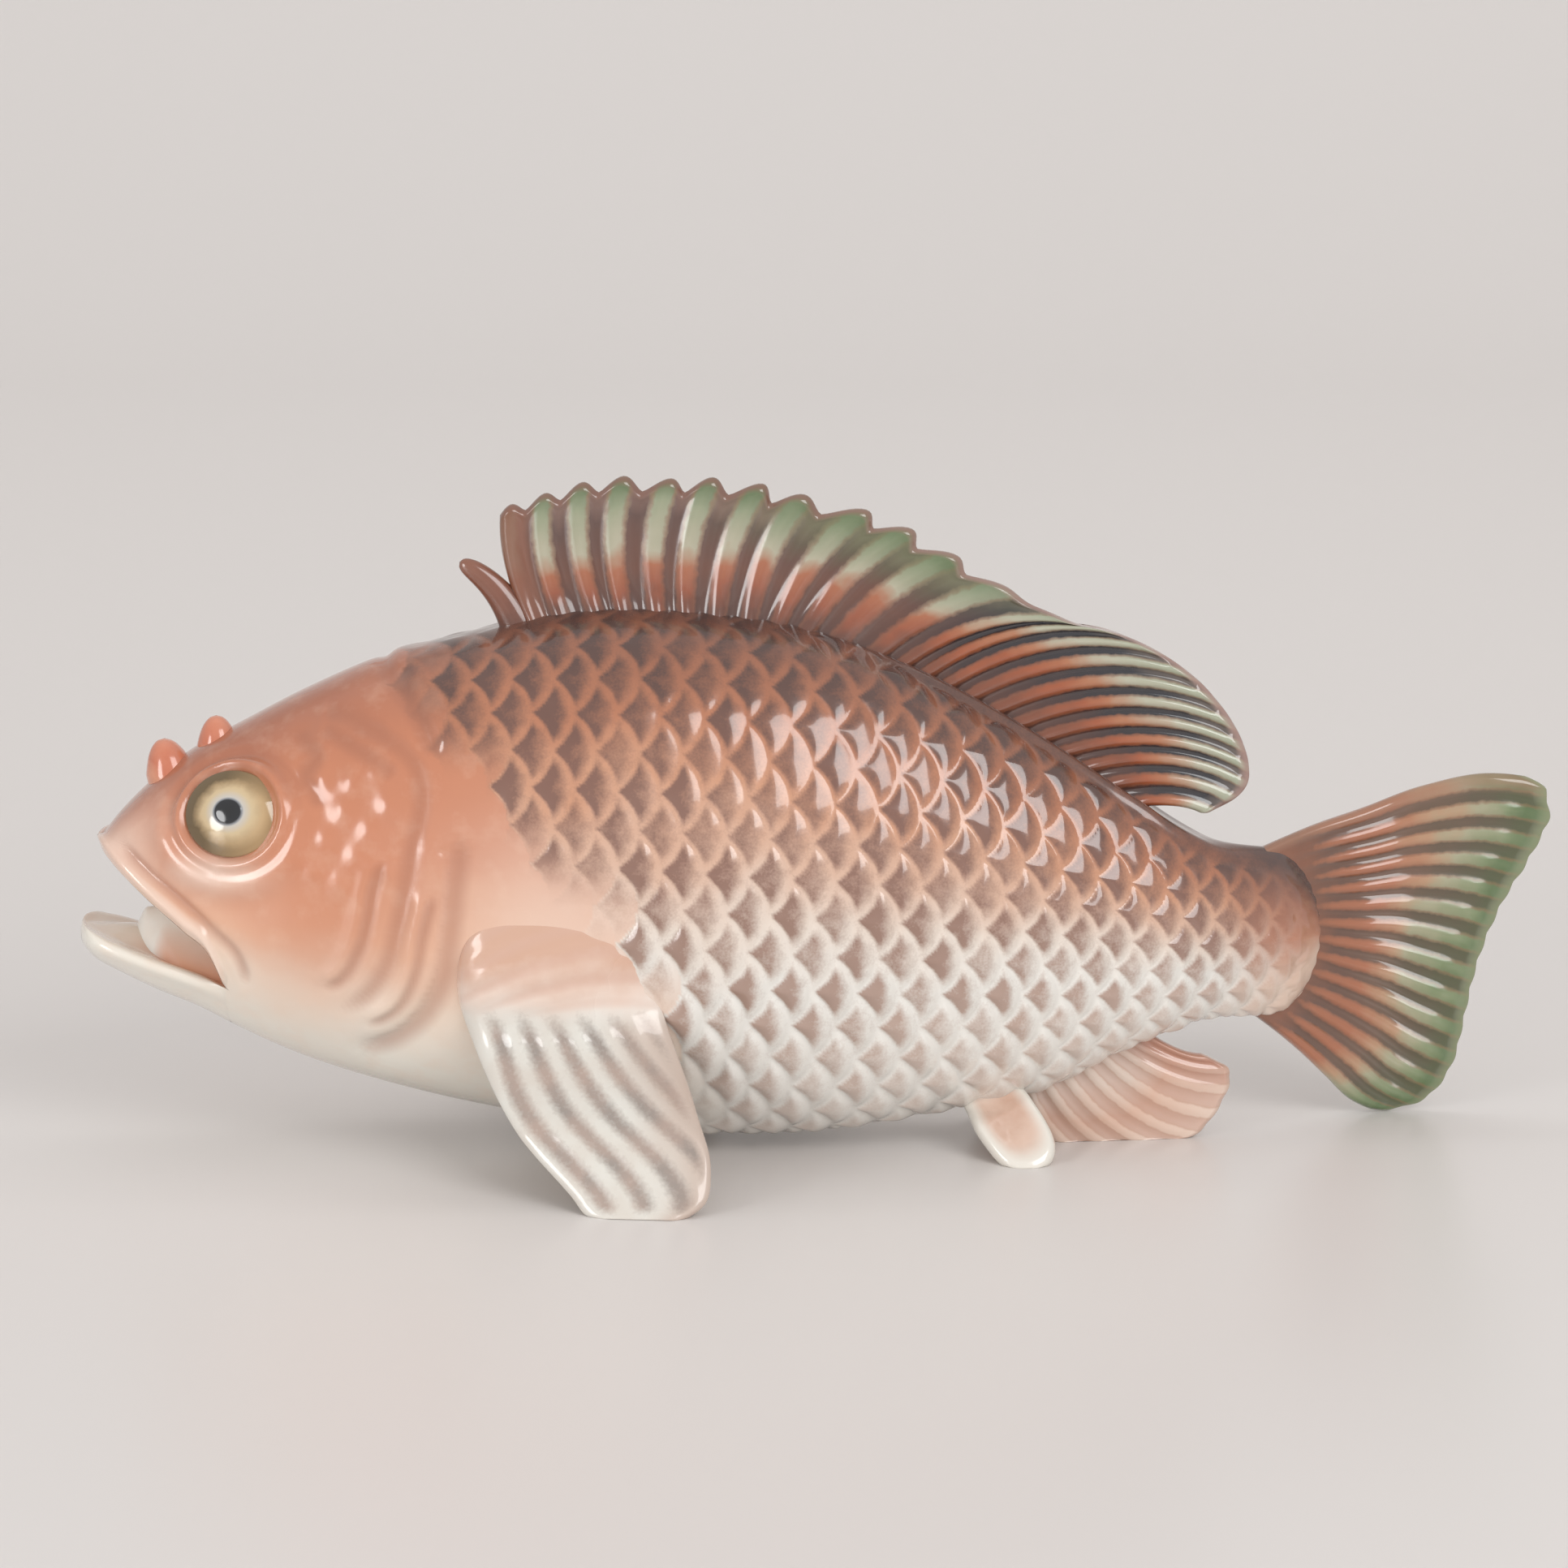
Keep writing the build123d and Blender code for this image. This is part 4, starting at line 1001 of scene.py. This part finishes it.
def make_pectoral(side, material):
    """The breast fin: a fleshy, banded root that rises from the flank, and a grooved blade on a flat foot."""
    node = "pectoral_fin_left" if side < 0 else "pectoral_fin_right"
    down_steps, across_steps = PECTORAL_GRID
    p = 0.5 - 0.5 * np.cos(np.linspace(0.0, np.pi, across_steps))[None, :]
    down = np.linspace(0.0, 1.0, down_steps)[:, None]
    leading, trailing = (curve(edge, down_steps)[:, None, :] for edge in (LEADING_EDGE, TRAILING_EDGE))
    flat = leading + (trailing - leading) * p[..., None]
    u, v = flat[..., 0], flat[..., 1]
    middle = on_leaning_plane(u, v, PECTORAL_HINGE, PECTORAL_LEAN, PECTORAL_YAW)
    root, hug = smooth(-9.0, 4.0, v), smooth(-24.0, 4.0, v)
    pull_to_flank(middle, hug, 0.5)

    swept = np.clip((down - 0.38) / 0.62, 0.0, 1.0)
    drift = GROOVE_DRIFT * smooth(0.0, 0.5, swept)
    count = ((p - drift) / (1 + GROOVE_FAN * swept**1.5) - GROOVE_START) / GROOVE_STEP
    blade = smooth(-1.0, -9.0, v) * smooth(0.985, 0.90, p) * smooth(0.99, 0.93, down)
    groove = (0.5 + 0.5 * np.cos(2 * np.pi * count)) ** 1.1 * blade * smooth(-0.55, -0.3, count)
    band = np.cos(2 * np.pi * (v - BAND_SLANT * (u + 4.0) + 0.018 * (u + 4.0) ** 2) / BAND_STEP)
    half = spline_of(PECTORAL_HALF)(v) - GROOVE_DEPTH * groove
    half += BAND_HEIGHT * band * root * smooth(15.0, 9.0, v)
    soft_side = 0.16 + 0.5 * hug
    half *= rounded((0.2 - p) / 0.2) * rounded((p - 1.0 + soft_side) / soft_side) ** (1.0 + root)

    hug = hug[..., None]
    out = (facing(PECTORAL_LEAN) * (1 - hug) - hug * (0.0, 1.0, 0.0)) * half[..., None]
    around = looped(middle + out, middle - out)
    shut = looped(middle, middle)

    def both(values):
        ring = looped(values, values)
        return np.concatenate([ring[:1], ring, ring[-1:]])

    facts = {
        "groove": both(groove),
        "band": both((0.5 - 0.5 * band) * root),
        "root": both(smooth(-14.0, 12.0, v)),
        "rear": both(smooth(0.55, 1.0, p) * (1 - root)),
    }
    around = np.concatenate([shut[:1], around, shut[-1:]]) * (1, -side, 1)
    make_shell(node + "_form", around, facts, material, node)


def make_pelvic(side, material):
    """The belly fin: a rounded paddle with a thick rim round a hollow face."""
    node = "pelvic_fin_left" if side < 0 else "pelvic_fin_right"
    out, angle = turned_grid(*PELVIC_GRID)
    straight = (PELVIC_LENGTH - PELVIC_WIDTH) / 2
    u = out * (PELVIC_WIDTH / 2 * np.cos(angle) + straight * np.tanh(2.2 * np.cos(angle)))
    v = out * PELVIC_WIDTH / 2 * np.sin(angle)
    along = u + PELVIC_LENGTH / 2 - PELVIC_ROOT
    hug = smooth(4.5, -2.5, along)
    half = (0.8 + 0.75 * smooth(0.1, 0.8, out)) * rounded((out - 0.8) / 0.2) * (1.0 - 0.6 * hug)
    laid = turn(np.stack([along, v, 0.0 * u], axis=-1), "z", PELVIC_RAKE - 90.0)
    middle = on_leaning_plane(laid[..., 0], laid[..., 1], PELVIC_HINGE, PELVIC_LEAN)
    pull_to_flank(middle, hug, 0.8)
    across = facing(PELVIC_LEAN) * half[..., None]
    around = np.concatenate([middle + across, (middle - across)[-2::-1]]) * (1, -side, 1)
    rim = np.maximum(smooth(0.45, 0.9, out), smooth(3.0, -3.0, along))
    facts = {"rim": np.concatenate([rim, rim[-2::-1]])}
    make_shell(node + "_form", around, facts, material, node)


def make_free_spine(material):
    """The short curved spine that stands alone in front of the dorsal fin."""
    t, angle = turned_grid(*SPINE_GRID)
    foot, bend, tip = (np.array((p[0], 0.0, p[1])) for p in (SPINE_FOOT, SPINE_BEND, SPINE_TIP))
    centre = (1 - t) ** 2 * foot + 2 * t * (1 - t) * bend + t**2 * tip
    run = np.gradient(centre, axis=0)
    run /= np.linalg.norm(run, axis=1, keepdims=True)
    aside = np.array((0.0, 1.0, 0.0))
    up = np.cross(run, aside)[:, None, :]
    size = SPINE_FOOT_RADIUS + (SPINE_TIP_RADIUS - SPINE_FOOT_RADIUS) * t
    size = size * np.sqrt(1 - t**14) * (t > 0)
    spread = (size * np.cos(angle))[..., None] * up + 0.75 * (size * np.sin(angle))[..., None] * aside
    around = centre[:, None, :] + spread
    make_shell("first_dorsal_spine_form", around, {"reach": t}, material, "first_dorsal_spine")


# Glazes


def colour(red, green, blue):
    """Linear colour from red, green and blue values of 0 to 255."""
    channels = np.array((red, green, blue)) / 255.0
    linear = np.where(channels <= 0.04045, channels / 12.92, ((channels + 0.055) / 1.055) ** 2.4)
    return (*linear.tolist(), 1.0)


class Glaze:
    """A glossy glaze material with small helpers to wire its colour."""

    def __init__(self, name, roughness=0.2, coat=1.0):
        self.material = bpy.data.materials.new(name)
        self.material.use_nodes = True
        self.tree = self.material.node_tree
        self.shader = self.tree.nodes["Principled BSDF"]
        self.place = self.node("ShaderNodeTexCoord", "Object", {})
        uneven = self.spread(self.noise(60.0, 3.0), 0.3, 0.7, roughness * 0.75, roughness * 1.3)
        fine = {"Strength": 0.06, "Distance": 0.0004, "Height": self.noise(420.0, 2.0)}
        wave = {"Strength": 0.12, "Distance": 0.001, "Height": self.noise(150.0, 1.0)}
        wave["Normal"] = self.node("ShaderNodeBump", "Normal", fine)
        self.set_shader("Coat Weight", coat)
        self.set_shader("Coat Roughness", 0.08)
        self.set_shader("IOR", 1.5)
        self.set_shader("Roughness", uneven)
        self.set_shader("Normal", self.node("ShaderNodeBump", "Normal", wave))

    def set_shader(self, name, value):
        self.feed(self.shader.inputs[name], value)

    def node(self, kind, output, inputs):
        """One output of a new node, whose inputs are linked to other outputs or set to plain values."""
        node = self.tree.nodes.new(kind)
        for name, value in inputs.items():
            self.feed(node.inputs[name], value)
        return node.outputs[output]

    def feed(self, socket, value):
        if isinstance(value, bpy.types.NodeSocket):
            self.tree.links.new(value, socket)
        else:
            socket.default_value = value

    def fact(self, name):
        node = self.tree.nodes.new("ShaderNodeAttribute")
        node.attribute_name = name
        return node.outputs["Fac"]

    def noise(self, scale, detail):
        inputs = {"Vector": self.place, "Scale": scale, "Detail": detail}
        return self.node("ShaderNodeTexNoise", "Fac", inputs)

    def spread(self, source, low, high, to_low=0.0, to_high=1.0):
        """The source from low..high to to_low..to_high, held at the ends."""
        ends = {"From Min": low, "From Max": high, "To Min": to_low, "To Max": to_high}
        return self.node("ShaderNodeMapRange", "Result", {"Value": source, **ends})

    def grain(self, noise, amount):
        """Noise about zero, up to the amount either way."""
        return self.spread(noise, 0.3, 0.7, -amount, amount)

    def sums(self, operation, first, second):
        node = self.tree.nodes.new("ShaderNodeMath")
        node.operation = operation
        for socket, value in zip(node.inputs, (first, second)):
            self.feed(socket, value)
        return node.outputs["Value"]

    def ramp(self, source, stops):
        """A colour ramp from (place, red, green, blue) stops."""
        node = self.tree.nodes.new("ShaderNodeValToRGB")
        elements = node.color_ramp.elements
        while len(elements) < len(stops):
            elements.new(0.5)
        for element, (place, *rgb) in zip(elements, stops):
            element.position = place
            element.color = colour(*rgb)
        self.feed(node.inputs["Fac"], source)
        return node.outputs["Color"]

    def mix(self, factor, first, second):
        node = self.tree.nodes.new("ShaderNodeMix")
        node.data_type = "RGBA"
        self.feed(node.inputs[0], factor)
        sockets = [s for s in node.inputs if s.type == "RGBA"]
        for socket, value in zip(sockets, (first, second)):
            self.feed(socket, colour(*value) if isinstance(value, tuple) else value)
        return next(s for s in node.outputs if s.type == "RGBA")

    def tint(self, base, over, fact, low, high, to_low=0.0, to_high=1.0):
        """A colour laid over the base, to_low to to_high strong as the fact goes from low to high."""
        return self.mix(self.spread(self.fact(fact), low, high, to_low, to_high), base, over)

    def finish(self, colour_socket):
        self.set_shader("Base Color", colour_socket)
        return self.material


def body_glaze():
    """Brown back, tan flank and white belly with a speckled patch on each scale, and a salmon head."""
    g = Glaze("body glaze")
    g.set_shader("Coat Roughness", g.spread(g.fact("scaled"), 0.0, 1.0, 0.17, 0.07))
    wander = g.spread(g.noise(70.0, 3.0), 0.0, 1.0, -0.08, 0.08)
    level = g.sums("ADD", g.spread(g.fact("level"), -1.0, 1.0), wander)
    crescent = g.ramp(level, (
        (0.38, 224, 220, 213), (0.48, 220, 205, 192), (0.57, 208, 172, 150), (0.67, 196, 144, 114),
        (0.78, 172, 112, 82), (0.90, 144, 90, 66), (0.98, 112, 75, 62),
    ))
    patch_and_shade = g.ramp(level, (
        (0.05, 210, 198, 188), (0.30, 176, 152, 139), (0.46, 148, 118, 104), (0.57, 136, 101, 87),
        (0.71, 120, 83, 70), (0.85, 88, 61, 53), (0.97, 74, 53, 48),
    ))
    speckle = g.sums("ADD", g.grain(g.noise(2600.0, 2.0), 0.10), g.grain(g.noise(520.0, 3.0), 0.15))
    strength = g.spread(g.fact("chance"), 0.0, 1.0, 0.68, 1.12)
    dark = g.sums("ADD", g.sums("MULTIPLY", g.fact("patch_and_shade"), strength), speckle)
    scales = g.mix(g.spread(dark, 0.02, 0.95), crescent, patch_and_shade)
    head = g.ramp(level, (
        (0.16, 226, 221, 210), (0.29, 227, 208, 190), (0.42, 219, 170, 141), (0.55, 196, 130, 98),
        (0.74, 188, 120, 88), (0.94, 160, 97, 72),
    ))
    head = g.tint(head, (194, 122, 87), "cheek", 0.0, 1.0, 0.0, 0.7)
    head = g.mix(g.spread(g.noise(240.0, 4.0), 0.5, 0.8, 0.0, 0.22), head, (228, 192, 168))
    # the pale tint also carries a painted highlight on the pouch under the eye
    head = g.tint(head, (228, 204, 188), "pale", 0.0, 1.0, 0.0, 0.75)
    skin = g.mix(g.fact("scaled"), head, scales)
    # painted shade in the head's grooves and in the hollow behind the gill cover's edge
    skin = g.tint(skin, (156, 98, 74), "crease_shade", 0.2, 1.0, 0.0, 0.45)
    end = g.ramp(level, (
        (0.25, 214, 184, 164), (0.5, 180, 120, 92), (0.70, 150, 96, 74), (0.88, 76, 58, 54),
    ))
    skin = g.tint(skin, end, "tail_end", 0.0, 1.0, 0.0, 0.9)
    # the mouth's orange inside, partly painted shade in the jaw's trough
    return g.finish(g.tint(skin, MOUTH_COLOUR_AND_SHADE, "inside", 0.0, 1.0))


def fin_colour(g, ridge_stops, groove_stops):
    """Ridges and grooves, each with its own run of colour from root to edge."""
    reach = g.sums("ADD", g.fact("reach"), g.spread(g.noise(110.0, 3.0), 0.0, 1.0, -0.21, 0.21))
    high = g.sums("ADD", g.fact("ridge"), g.grain(g.noise(700.0, 3.0), 0.10))
    ribs = g.mix(g.spread(high, 0.25, 0.72), g.ramp(reach, groove_stops), g.ramp(reach, ridge_stops))
    slope = g.sums("MULTIPLY", g.spread(high, 0.25, 0.5), g.spread(high, 0.5, 0.75, 0.3, 0.0))
    return g.mix(slope, ribs, (158, 100, 70))


def with_rim(g, body, rim, rim_start):
    return g.tint(body, rim, "reach", rim_start, rim_start + 0.05, 0.0, 0.85)


def dorsal_glaze():
    """Orange ribs that turn mint and green; brown grooves in front, blue-black ones in the soft part."""
    g = Glaze("dorsal glaze")
    spiny = fin_colour(
        g,
        ((0.18, *ROOT_BROWN), (0.30, 146, 80, 54), (0.44, 162, 98, 68), (0.56, 170, 164, 142),
         (0.80, 140, 146, 118), (0.97, 96, 112, 78)),
        ((0.15, 86, 58, 50), (0.45, 102, 64, 50), (0.75, 88, 62, 54), (0.92, 120, 92, 82)),
    )
    soft = fin_colour(
        g,
        ((0.18, 124, 70, 48), (0.34, 154, 82, 50), (0.48, 166, 108, 76), (0.66, 172, 168, 148),
         (0.97, 156, 160, 138)),
        ((0.15, 84, 52, 42), (0.40, 48, 40, 42), (0.75, 40, 40, 46), (0.95, 96, 86, 80)),
    )
    green_tips = g.tint(spiny, (90, 108, 70), "reach", 0.55, 0.9, 0.0, 0.6)
    spiny = g.tint(spiny, green_tips, "across", 0.22, 0.36)
    ribs = g.tint(spiny, soft, "across", 0.47, 0.56)
    ribs = g.tint(ribs, (128, 80, 60), "across", 0.018, 0.034, 0.9, 0.0)
    edge = g.ramp(g.fact("across"), ((0.3, 124, 86, 72), (0.6, 160, 128, 118)))
    return g.finish(with_rim(g, ribs, edge, 0.93))


def tail_glaze():
    """Orange ribs with brown grooves; the outer third is green over olive grooves."""
    g = Glaze("tail glaze")
    ribs = fin_colour(
        g,
        ((0.10, 150, 92, 64), (0.45, 164, 102, 72), (0.62, 172, 136, 106), (0.72, 156, 152, 124),
         (0.86, 120, 132, 96), (0.97, 84, 104, 64)),
        ((0.10, 130, 82, 60), (0.30, 102, 72, 58), (0.55, 106, 80, 64), (0.74, 88, 76, 58),
         (0.95, 76, 80, 52)),
    )
    ribs = g.tint(ribs, (150, 112, 90), "across", 0.0, 0.035, 0.6, 0.0)
    return g.finish(with_rim(g, ribs, (136, 142, 108), 0.95))


def anal_glaze():
    """Pale pink ribs that darken to brown at the rear."""
    g = Glaze("anal fin glaze")
    ribs = fin_colour(
        g,
        ((0.20, 206, 186, 172), (0.45, 206, 170, 150), (0.90, 214, 190, 174)),
        ((0.20, 194, 168, 154), (0.45, 188, 148, 128), (0.90, 198, 166, 150)),
    )
    ribs = g.tint(ribs, (166, 110, 86), "across", 0.66, 0.95, 0.0, 0.8)
    return g.finish(with_rim(g, ribs, (204, 172, 154), 0.95))


def pectoral_glaze():
    """Cream blade with grey-brown grooves, and a pinkish root with faint bands."""
    g = Glaze("pectoral glaze", roughness=0.25, coat=0.8)
    cloud = g.noise(150.0, 4.0)
    blade = g.ramp(cloud, ((0.3, 216, 213, 205), (0.7, 208, 200, 190)))
    blade = g.tint(blade, (188, 166, 152), "rear", 0.0, 1.0, 0.0, 0.85)
    rise = g.sums("ADD", g.fact("root"), g.grain(cloud, 0.10))
    root = g.ramp(rise, ((0.30, 226, 217, 208), (0.60, 224, 202, 188), (0.95, 204, 164, 142)))
    skin = g.tint(blade, root, "root", 0.25, 0.5)
    skin = g.tint(skin, (204, 166, 148), "band", 0.3, 1.0, 0.0, 0.45)
    groove = g.ramp(cloud, ((0.35, 142, 130, 122), (0.65, 168, 146, 134)))
    depth = g.sums("ADD", g.fact("groove"), g.grain(g.noise(1500.0, 2.0), 0.12))
    return g.finish(g.mix(g.spread(depth, 0.1, 0.95, 0.0, 0.9), skin, groove))


def pelvic_glaze():
    """Pinkish face with a cream rim."""
    g = Glaze("pelvic glaze")
    face = g.ramp(g.noise(180.0, 3.0), ((0.35, 200, 164, 144), (0.65, 214, 184, 166)))
    return g.finish(g.mix(g.fact("rim"), face, (224, 218, 208)))


def tongue_glaze():
    """Cream, with the mouth's orange along its sides, partly painted shade where they slope down into the
    trough.
    """
    g = Glaze("tongue glaze")
    pale = g.ramp(g.noise(150.0, 3.0), ((0.3, 226, 216, 204), (0.7, 232, 228, 220)))
    # partly painted shade: the sides of the tongue take the mouth's orange where they slope into the trough
    return g.finish(g.tint(pale, MOUTH_COLOUR_AND_SHADE, "edge", 0.45, 0.95, 0.0, 0.9))


def shaded_glaze(name, stops):
    """A clouded run of colour from foot to tip."""
    g = Glaze(name)
    reach = g.sums("ADD", g.fact("reach"), g.grain(g.noise(200.0, 3.0), 0.15))
    return g.finish(g.ramp(reach, stops))


def horn_glaze():
    stops = (0.35, 204, 138, 108), (0.6, 192, 110, 80), (0.95, 204, 132, 104)
    return shaded_glaze("horn glaze", stops)


def spine_glaze():
    stops = (0.15, *ROOT_BROWN), (0.5, 124, 76, 58), (0.95, 130, 84, 66)
    return shaded_glaze("free spine glaze", stops)


def eye_glaze():
    """Black pupil in a thin bluish ring, cream iris, and a brown ring that fades to the rear."""
    g = Glaze("eye glaze", roughness=0.07)
    radius = g.fact("radius")
    rings = g.ramp(g.spread(radius, 0.0, EYE_RADIUS), (
        (0.0, 14, 14, 16), (0.27, 22, 23, 28), (0.305, 132, 134, 138), (0.34, 190, 184, 176),
        (0.50, 198, 176, 140), (0.72, 192, 162, 120), (0.88, 168, 138, 96),
    ))
    outer = g.sums("ADD", radius, g.grain(g.noise(420.0, 3.0), 0.5))
    ring = g.sums("MULTIPLY", g.spread(outer, 4.3, 6.3), g.spread(g.fact("forward"), -0.75, 0.35, 0.08, 1.0))
    return g.finish(g.mix(ring, rings, (98, 78, 46)))


# Stage


def make_stage():
    """A pale seamless sweep behind and under the fish."""
    floor, bend = np.linspace(-STAGE_REACH, STAGE_BEND, 20), np.linspace(0.0, np.pi / 2, 25)[1:]
    depth = np.concatenate([floor, STAGE_BEND * (1 + np.sin(bend)), [2 * STAGE_BEND]])
    rise = np.concatenate([0.0 * floor, STAGE_BEND * (1 - np.cos(bend)), [STAGE_REACH]])
    wide = np.linspace(-STAGE_REACH, STAGE_REACH, 7)
    points = [(x, y, z) for y, z in zip(depth, rise) for x in wide]
    index = np.arange(len(points)).reshape(len(depth), len(wide))
    mesh = bpy.data.meshes.new("sweep")
    mesh.from_pydata(points, [], grid_quads(index)[:, ::-1].tolist())
    mesh.polygons.foreach_set("use_smooth", np.ones(len(mesh.polygons), bool))
    sweep = bpy.data.objects.new("sweep", mesh)
    bpy.context.collection.objects.link(sweep)
    paper = bpy.data.materials.new("pale sweep")
    paper.use_nodes = True
    shader = paper.node_tree.nodes["Principled BSDF"]
    shader.inputs["Base Color"].default_value = colour(221, 216, 213)
    shader.inputs["Roughness"].default_value = 0.32
    mesh.materials.append(paper)


def make_light(name, place, target, size, power, outline, mirrored):
    lamp = bpy.data.lights.new(name, "AREA")
    lamp.shape = outline
    lamp.size, lamp.size_y = size
    lamp.energy = power
    light = bpy.data.objects.new(name, lamp)
    light.location = place
    light.rotation_euler = (Vector(target) - Vector(place)).to_track_quat("-Z", "Y").to_euler()
    light.visible_glossy = mirrored
    bpy.context.collection.objects.link(light)


def make_lights():
    for name, settings in LIGHTS.items():
        make_light(name, *settings)
    world = bpy.data.worlds.new("studio")
    world.use_nodes = True
    background = world.node_tree.nodes["Background"]
    background.inputs["Color"].default_value = colour(236, 236, 236)
    background.inputs["Strength"].default_value = WORLD_STRENGTH
    bpy.context.scene.world = world


def make_camera():
    pitch = np.radians(CAMERA_PITCH)
    ahead = np.array((0.0, np.cos(pitch), -np.sin(pitch)))
    lens = bpy.data.cameras.new("camera")
    lens.lens, lens.sensor_width = CAMERA_LENS, SENSOR_WIDTH
    lens.clip_start, lens.clip_end = 0.01, 20.0
    camera = bpy.data.objects.new("camera", lens)
    camera.location = (CAMERA_TARGET - ahead * CAMERA_DISTANCE) * MM
    camera.rotation_euler = (np.pi / 2 - pitch, 0.0, 0.0)
    bpy.context.collection.objects.link(camera)
    bpy.context.scene.camera = camera


def main():
    make_body(body_glaze())
    make_tongue(tongue_glaze())
    eye = eye_glaze()
    for side in (-1, 1):
        make_eye(side, eye)
    horn = horn_glaze()
    for node in HORNS:
        make_horn(node, horn)
    make_dorsal(dorsal_glaze())
    make_free_spine(spine_glaze())
    make_tail(tail_glaze())
    make_anal(anal_glaze())
    pectoral, pelvic = pectoral_glaze(), pelvic_glaze()
    for side in (-1, 1):
        make_pectoral(side, pectoral)
        make_pelvic(side, pelvic)
    make_stage()
    make_lights()
    make_camera()
    bpy.context.scene.view_settings.view_transform = "Standard"


main()
